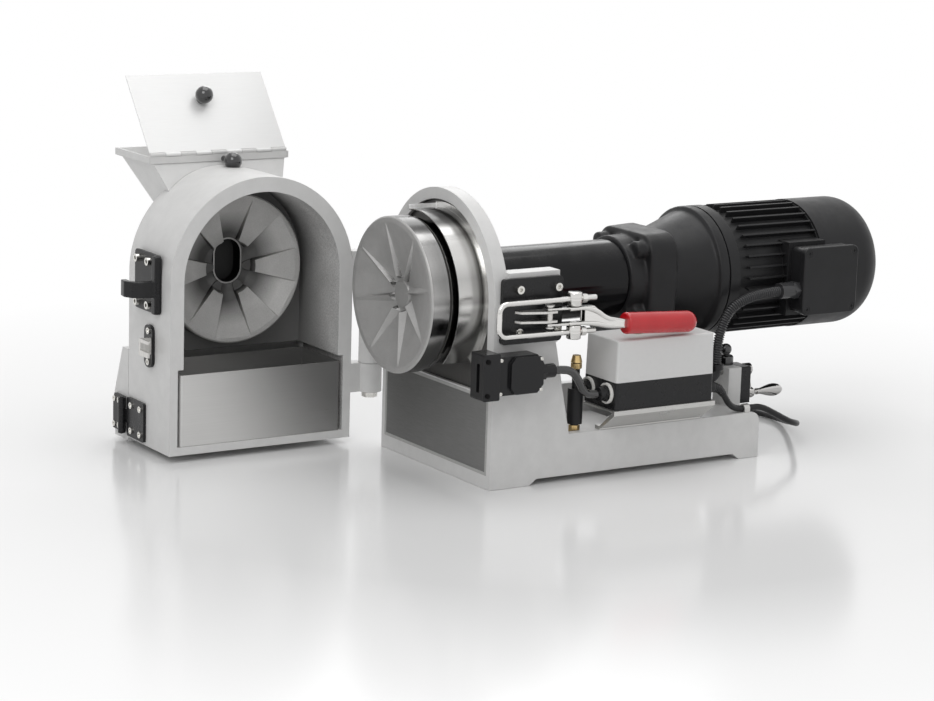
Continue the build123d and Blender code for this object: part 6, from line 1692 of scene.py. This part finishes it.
@dataclass
class FixedDisc:
    """The disc in the door: a dished face with six scoops that run out from the feed slot.

    Attributes:
        radius: of the disc, in millimetres; all the sizes here are.
        inset: how far its rim lies behind the door's mating plane.
        thick: of the disc.
        dish: depth of the lands' inner ends behind the rim.
        scoop_depth: depth of the scoops' inner ends behind the rim.
        hub_depth: depth of the middle, inside the lands.
        dish_radius: outer radius of the dished face.
        flat_radius: radius where lands and scoops start.
        land_step: width of the slope at the lands' inner ends.
        slot_wide: width of the feed slot.
        slot_tall: height of the feed slot.
        slot_up: how far the slot's middle lies above the axis.
        scoops: how many scoops there are.
        scoop_half: half the width of a scoop at its start, and what it gains outwards.
        scoop_lip: its depth where it runs out.
        scoop_curve: how its floor rises outwards; 1 is straight.
        scoop_hollow: share of its depth that its cross-section is hollowed by.
        first: angle of the first scoop, in degrees.
        scoop_columns: columns of the mesh from scoop to scoop.
        wall_columns: those inside a scoop.
        settled: radius from which the rings of the mesh are round.
        slot_rings: radius of the first ring round the slot, step and number.
        face_rings: step and number of the rings on the face.
        outer_rings: radii of the rings near the rim.
        chute_lip: zone of the chute's bright edge, in metres.
    """

    palette: Palette
    radius: float = 100.2
    inset: float = 82.0
    thick: float = 26.0
    dish: float = 10.0
    scoop_depth: float = 23.0
    hub_depth: float = 19.0
    dish_radius: float = 92.0
    flat_radius: float = 34.0
    land_step: float = 2.5
    slot_wide: float = 42.0
    slot_tall: float = 62.0
    slot_up: float = 8.0
    scoops: int = 6
    scoop_half: tuple[float, float] = (10.0, 16.0)
    scoop_lip: float = 0.4
    scoop_curve: float = 1.05
    scoop_hollow: float = 0.10
    first: float = 90.0
    scoop_columns: int = 72
    wall_columns: int = 32
    settled: float = 40.0
    slot_rings: tuple[float, float, int] = (34, 0.5, 12)
    face_rings: tuple[float, int] = (0.8, 65)
    outer_rings: tuple[float, ...] = (91.6, 92, 92.6, 94, 96, 98.2)
    chute_lip: Slab = Slab((-0.2658, -1.0, 0.0), (-0.2600, 1.0, 1.0))

    def bore(self, angle: float) -> float:
        """Give the radius of the slot's edge at an angle.

        Args:
            angle: where, in degrees.

        Returns:
            The radius in millimetres.
        """
        turn = math.radians(angle)
        half, end = self.slot_wide / 2, (self.slot_tall - self.slot_wide) / 2
        up, across = math.sin(turn), abs(math.cos(turn))
        if across > 1e-6 and self.slot_up - end <= half / across * up <= self.slot_up + end:
            return half / across
        middle = self.slot_up + (end if up > 0 else -end)
        return middle * up + math.sqrt(half * half - (middle * across) ** 2)

    def share(self, along: float) -> float:
        """Tell how far out along a scoop a point lies: 0 at its start, 1 at its end."""
        return (along - self.flat_radius) / (self.dish_radius - self.flat_radius)

    def wall(self, radius: float) -> float:
        """Give the angle of a scoop's wall from its middle, at a radius.

        Args:
            radius: where, in millimetres.

        Returns:
            The angle in degrees.
        """
        start, gain = self.scoop_half
        turn = 0.3
        for _ in range(4):
            half = start + gain * clamp(self.share(radius * math.cos(turn)), -0.15)
            turn = math.asin(min(0.45, half / radius))
        return math.degrees(turn)

    def column(self, index: int, radius: float) -> float:
        """Give the angle of a column, with columns along each scoop's walls.

        Args:
            index: number of the column.
            radius: where, in millimetres.

        Returns:
            The angle in degrees.
        """
        pitch = 360 / self.scoops
        scoop, step = divmod(index, self.scoop_columns)
        wall = self.wall(radius)
        top = wall + math.degrees(0.8 / radius)
        if step == 0:
            turn = -top
        elif step < self.wall_columns:
            turn = wall * (2 * (step - 1) / (self.wall_columns - 2) - 1)
        else:
            share = (step - self.wall_columns) / (self.scoop_columns - self.wall_columns)
            turn = top + (pitch - 2 * top) * share
        return self.first + pitch * scoop + turn

    def height(self, angle: float, radius: float) -> float:
        """Give the relief: the dish, and scoops that are deep at the slot and fade out at the rim.

        Args:
            angle: where, in degrees.
            radius: where, in millimetres.

        Returns:
            The height in millimetres.
        """
        base = -self.dish * clamp((self.dish_radius - radius) / (self.dish_radius - self.flat_radius))
        step = clamp((self.flat_radius + self.land_step - radius) / self.land_step)
        base -= (self.hub_depth - self.dish) * step
        pitch = 360 / self.scoops
        off = (angle - self.first + pitch / 2) % pitch - pitch / 2
        wall = self.wall(radius)
        share = self.share(radius * math.cos(math.radians(off)))
        if share >= 1 or abs(off) > wall + 0.01:
            return base
        hollow = 1 - self.scoop_hollow + self.scoop_hollow * math.cos(math.pi * off / (2 * wall))
        fall = (self.scoop_depth - self.scoop_lip) * (1 - clamp(share)) ** self.scoop_curve
        return min(base, -(self.scoop_lip + fall) * hollow)

    def build(self) -> None:
        """Make the disc and dress the chute behind it."""
        (start, fine, count), (coarse, rings) = self.slot_rings, self.face_rings
        stations = [start + fine * k for k in range(count)]
        stations += [self.settled + coarse * k for k in range(rings)]
        stations += self.outer_rings
        disc = DiscMesh((DOOR_X - self.inset, DOOR_Y, AXIS_Z), (1, 0, 0), (0, 1, 0), self.radius, self.thick,
                        self.height, self.column, self.scoops * self.scoop_columns, stations, self.bore,
                        self.settled)
        piece = disc.build("fixed_disc_face", "door", self.palette.stator)
        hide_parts("fixed_disc")
        # painted shade: the feed chute is near black, with a grey steel lip
        chute = replace(self.palette.stator, colour=(0.03, 0.03, 0.03), bare=(self.chute_lip,),
                        bare_colour=(0.42, 0.415, 0.41))
        dress(chute, "feed_chute", material="chute_painted_shade")
        LOG.info("fixed disc: %d scoops", self.scoops)


# ---------------------------------------------------------------- sub-assemblies
@dataclass
class Stand:
    """The cast body with its panel, shroud, hinge pin and post.

    Attributes:
        half: half the width of the machined face behind the disc, in metres.
        face_depth: between which y it lies, in metres.
        face_foot: where it starts, in metres.
        shroud_lip_highlight: zone of the shroud's edge, painted near white as a highlight.
        shaded_screw_sockets: zone of the screws' sockets, painted black as shade.
    """

    palette: Palette
    half: float = 0.1185
    face_depth: tuple[float, float] = (0.0045, 0.0068)
    face_foot: float = 0.112
    shroud_lip_highlight: Slab = Slab((-0.0260, -0.05, 0.3355), (-0.0178, 0.01, 0.40))
    shaded_screw_sockets: Slab = Slab((0.1655, -0.04, 0.1), (0.20, -0.02, 0.2))

    def build(self) -> None:
        """Dress the stand."""
        kit = self.palette
        half, middle, (near, far) = self.half, AXIS_Z * MM, self.face_depth
        face = Slab((-half, near, self.face_foot), (half, far, middle))
        arch = Bore((-half, near, middle), (half, far, 0.36),
                    (0.0, 0.0, middle), (0.0, 1.0, 0.0), half)
        # the machined face behind the disc is bare steel, darkened as painted shade of the recess
        frame_paint_and_shade = replace(kit.body, bare=(face, arch), bare_colour=(0.13, 0.128, 0.125))
        dress(frame_paint_and_shade, "base_frame", material="stand_paint")
        dress(kit.body, "spindle_block")
        dress(kit.panel, "front_panel", material="panel_sheet")
        # painted highlight: the shroud's lip is near white
        dress(replace(kit.shroud, bare=(self.shroud_lip_highlight,), bare_colour=(0.95, 0.95, 0.94)), "shroud",
              material="shroud_sheet")
        dress(kit.seal, "panel_seal")
        dress(kit.screw, "hinge_pin")
        # painted shade: the screws' sockets are black
        dress(replace(kit.screw, bare=(self.shaded_screw_sockets,), bare_colour=(0.01, 0.01, 0.01)), "stand_screws",
              material="stand_screw_steel")
        dress(kit.drive, "support_post")
        dress(kit.brass, "post_fittings")
        LOG.info("stand dressed")


@dataclass
class Door:
    """The chamber door with its hopper, lid, flap, vessel and fittings.

    Attributes:
        chamber_depth: reach of the chamber's raw inside behind the mating plane, in metres, from and to.
        chamber_half: half the width of the round and the straight part of the chamber.
        pocket_half: half the width of the vessel's pocket below them.
        pocket_foot: height of its floor.
        pocket_top: height where the straight part starts.
        spout_half: half the width of the hopper's spout, painted near black as shade.
        spout_reach: its x, from and to.
        spout_height: its z, from and to.
        tongues_to: y up to which the interlock key is bare steel.
    """

    palette: Palette
    chamber_depth: tuple[float, float] = (0.1105, 0.0007)
    chamber_half: tuple[float, float] = (0.1148, 0.1145)
    pocket_half: float = 0.1255
    pocket_foot: float = 0.0195
    pocket_top: float = 0.1225
    spout_half: float = 0.0215
    spout_reach: tuple[float, float] = (-0.3095, -0.2700)
    spout_height: tuple[float, float] = (0.2015, 0.30)
    tongues_to: float = -0.3043

    def build(self) -> None:
        """Dress the door."""
        kit = self.palette
        x, y, z = DOOR_X * MM, DOOR_Y * MM, AXIS_Z * MM
        deep, near = x - self.chamber_depth[0], x - self.chamber_depth[1]
        arch, walls = self.chamber_half
        pocket = Slab((deep, y - self.pocket_half, self.pocket_foot),
                      (near, y + self.pocket_half, self.pocket_top))
        lower = Slab((deep, y - walls, self.pocket_top), (near, y + walls, z))
        upper = Bore((deep, y - 0.140, z), (near, y + 0.140, 0.40), (0.0, y, z), (1.0, 0.0, 0.0), arch)
        # the chamber's raw inside carries painted shade, darker towards the back
        dress(replace(kit.body, raw=(pocket, lower, upper)), "door_housing", material="door_paint")
        # painted shade: the hopper's spout is raw casting painted near black
        spout = Slab((self.spout_reach[0], y - self.spout_half, self.spout_height[0]),
                     (self.spout_reach[1], y + self.spout_half, self.spout_height[1]))
        dress(replace(kit.body, raw=(spout,), raw_colour=(0.02, 0.02, 0.02)), "hopper",
              material="hopper_paint")
        dress(kit.body, "front_flap", "lid_hinge_leaf")
        dress(kit.lid, "hopper_lid")
        dress(kit.gloss, "rest_knob", "lid_knob")
        dress(kit.sheet, "collecting_vessel", material="vessel_sheet")
        forged("latch_hook", "latch_casting", "door", replace(kit.drive, roughness=0.3), voxel=0.0009,
               passes=10)
        tongues = Slab((-0.4, -0.4, 0.0), (0.0, self.tongues_to, 0.4))
        dress(replace(kit.plastic, bare=(tongues,), bare_colour=FITTING_STEEL), "interlock_key",
              material="key_plate")
        dress(kit.plastic, "flap_hinge", "flap_leaf")
        dress(kit.screw, "side_screws", "flap_screws")
        LOG.info("door dressed")


@dataclass
class Drive:
    """The bearing tube, gearbox and motor."""

    palette: Palette

    def build(self) -> None:
        """Dress the drive."""
        kit = self.palette
        dress(kit.tube, "bearing_tube")
        forged("gearbox", "gearbox_casting", "drive", kit.drive, voxel=0.0018, passes=14)
        dress(kit.drive, "motor_housing", "fan_cowl", "terminal_box", "drive_screws")
        dress(kit.plastic, "motor_fan")
        dress(kit.conduit, "conduit_connector", material="connector_plastic")
        LOG.info("drive dressed")


@dataclass
class SwitchGear:
    """The switch box with its buttons, and the door's safety switch.

    Attributes:
        screw_from: x where the safety switch's screws start, in millimetres.
        screw_spots: y, z and height of each.
    """

    palette: Palette
    screw_from: float = 160.5
    screw_spots: tuple[Point, ...] = (
        (-6.8, 173.5, 3.6), (-6.8, 131.0, 3.6), (51.8, 171.8, 5.8), (51.8, 132.6, 5.8))

    def build(self) -> None:
        """Dress the switches."""
        kit = self.palette
        dress(replace(kit.plastic, colour=(0.011, 0.011, 0.012), roughness=0.2, relief=0.000004, mottle=0.03),
              "safety_switch", material="switch_plastic")
        dress(kit.plastic, "switch_box_base", "conduit_elbow")
        dress(kit.cover, "switch_box_cover")
        dress(kit.green, "start_button")
        dress(kit.red, "stop_button")
        dress(kit.white, "gland_rings")
        dress(kit.plate, "box_bracket", "cable_clip", material="bracket_sheet")
        self.screws()
        LOG.info("switches dressed")

    def screws(self) -> None:
        """Set the small bright screws of the safety switch beside its cap."""
        for number, (y, z, top) in enumerate(self.screw_spots):
            head = [(0.0, 2.6), (top - 0.9, 2.6), (top - 0.2, 2.2), (top, 1.5), (top - 0.02, 1.35),
                    (top - 0.9, 1.3), (top - 0.9, 0.0)]
            points, faces = lathe(head, metres((self.screw_from, y, z)), Vector((1, 0, 0)), 32)
            mesh_piece(f"switch_screw_{number}", points, faces, "stand", self.palette.screw)


@dataclass
class Clamp:
    """The toggle clamp that holds the door shut.

    Attributes:
        link: x and y of the pins between lever and loop, in millimetres.
        mid_z: mid height of the clamp.
        reach: distance of each barrel's middle from it.
        barrel_half: half the height of a barrel.
        barrel_edge: distance from a barrel's end and radius along its rounded edge.
        ears: zone of the bracket's bare ears, in metres.
        prong_radius: a prong's radius at its front end, and what it gains.
        prong_swell: y where it starts to gain, and over which length, in metres.
        prongs: control points of the lever's two prongs, in millimetres.
    """

    palette: Palette
    link: tuple[float, float] = (157.0, 103.63)
    mid_z: float = 221.5
    reach: float = 21.0
    barrel_half: float = 9.0
    barrel_edge: tuple[tuple[float, float], ...] = ((0.0, 7.9), (0.5, 8.7), (1.4, 9.3))
    ears: Slab = Slab((0.1397, -0.1, 0.1), (0.3, 0.3, 0.4))
    prong_radius: tuple[float, float] = (2.3, 1.3)
    prong_swell: tuple[float, float] = (0.112, 0.02)
    prongs: tuple[tuple[Point, ...], ...] = (
        ((163.7, 92.0, 230.8), (163.7, 100.0, 230.8), (163.7, 118.0, 230.8), (162.5, 134.0, 226.0),
         (161.5, 150.0, 214.5), (160.0, 168.0, 210.0), (158.0, 186.0, 207.0)),
        ((163.7, 92.0, 212.2), (163.7, 100.0, 212.2), (163.7, 118.0, 211.5), (162.5, 134.0, 209.5),
         (161.5, 150.0, 205.5), (160.0, 168.0, 203.5), (158.0, 186.0, 202.5)))

    def build(self) -> None:
        """Dress the clamp."""
        kit = self.palette
        dress(replace(kit.plastic, bare=(self.ears,), bare_colour=FITTING_STEEL), "clamp_bracket",
              material="clamp_plate")
        forged("clamp_lever", "forged_lever", "clamp", kit.bright, voxel=0.0007, passes=8)
        dress(kit.bright, "clamp_loop")
        self.barrels()
        self.arms()
        dress(kit.grip, "clamp_grip")
        LOG.info("clamp dressed")

    def arms(self) -> None:
        """Sweep the lever's two rounded prongs, which draw together at the grip."""
        (thin, gain), (first, over) = self.prong_radius, self.prong_swell
        for number, route in enumerate(self.prongs):
            line = read_line(route)
            radii = [(thin + gain * clamp((point.y - first) / over)) * MM for point in line]
            points, faces = tube_mesh(line, radii, 24)
            mesh_piece(f"lever_prong_{number}", points, faces, "clamp", self.palette.bright)

    def barrels(self) -> None:
        """Turn the two upright barrels that carry the loop's threaded ends."""
        for number, middle in enumerate((self.mid_z - self.reach, self.mid_z + self.reach)):
            low = middle - self.barrel_half
            tall = 2 * self.barrel_half
            ends = [(tall - along, radius) for along, radius in reversed(self.barrel_edge)]
            profile = [*self.barrel_edge, *ends, (tall, 0.0)]
            points, faces = lathe(profile, metres((*self.link, low)), Vector((0, 0, 1)), 48)
            mesh_piece(f"loop_barrel_{number}", points, faces, "loop", self.palette.bright)


@dataclass
class GapDrive:
    """The crank, its blocks and the lever that locks the gap."""

    palette: Palette

    def build(self) -> None:
        """Dress the gap drive."""
        kit = self.palette
        dress(kit.plastic, "counter_block")
        dress(kit.crank, "gap_crank", "crank_grip")
        dress(kit.gloss, "lock_lever")
        LOG.info("gap drive dressed")


def main() -> None:
    """Build the studio and every sub-assembly."""
    logging.basicConfig(level=logging.INFO, format="%(message)s")
    palette = Palette()
    Studio().build()
    for part in (Cables(palette), TurningDisc(palette), FixedDisc(palette), Stand(palette), Door(palette),
                 Drive(palette), SwitchGear(palette), Clamp(palette), GapDrive(palette)):
        part.build()


if __name__ == "__main__":
    main()
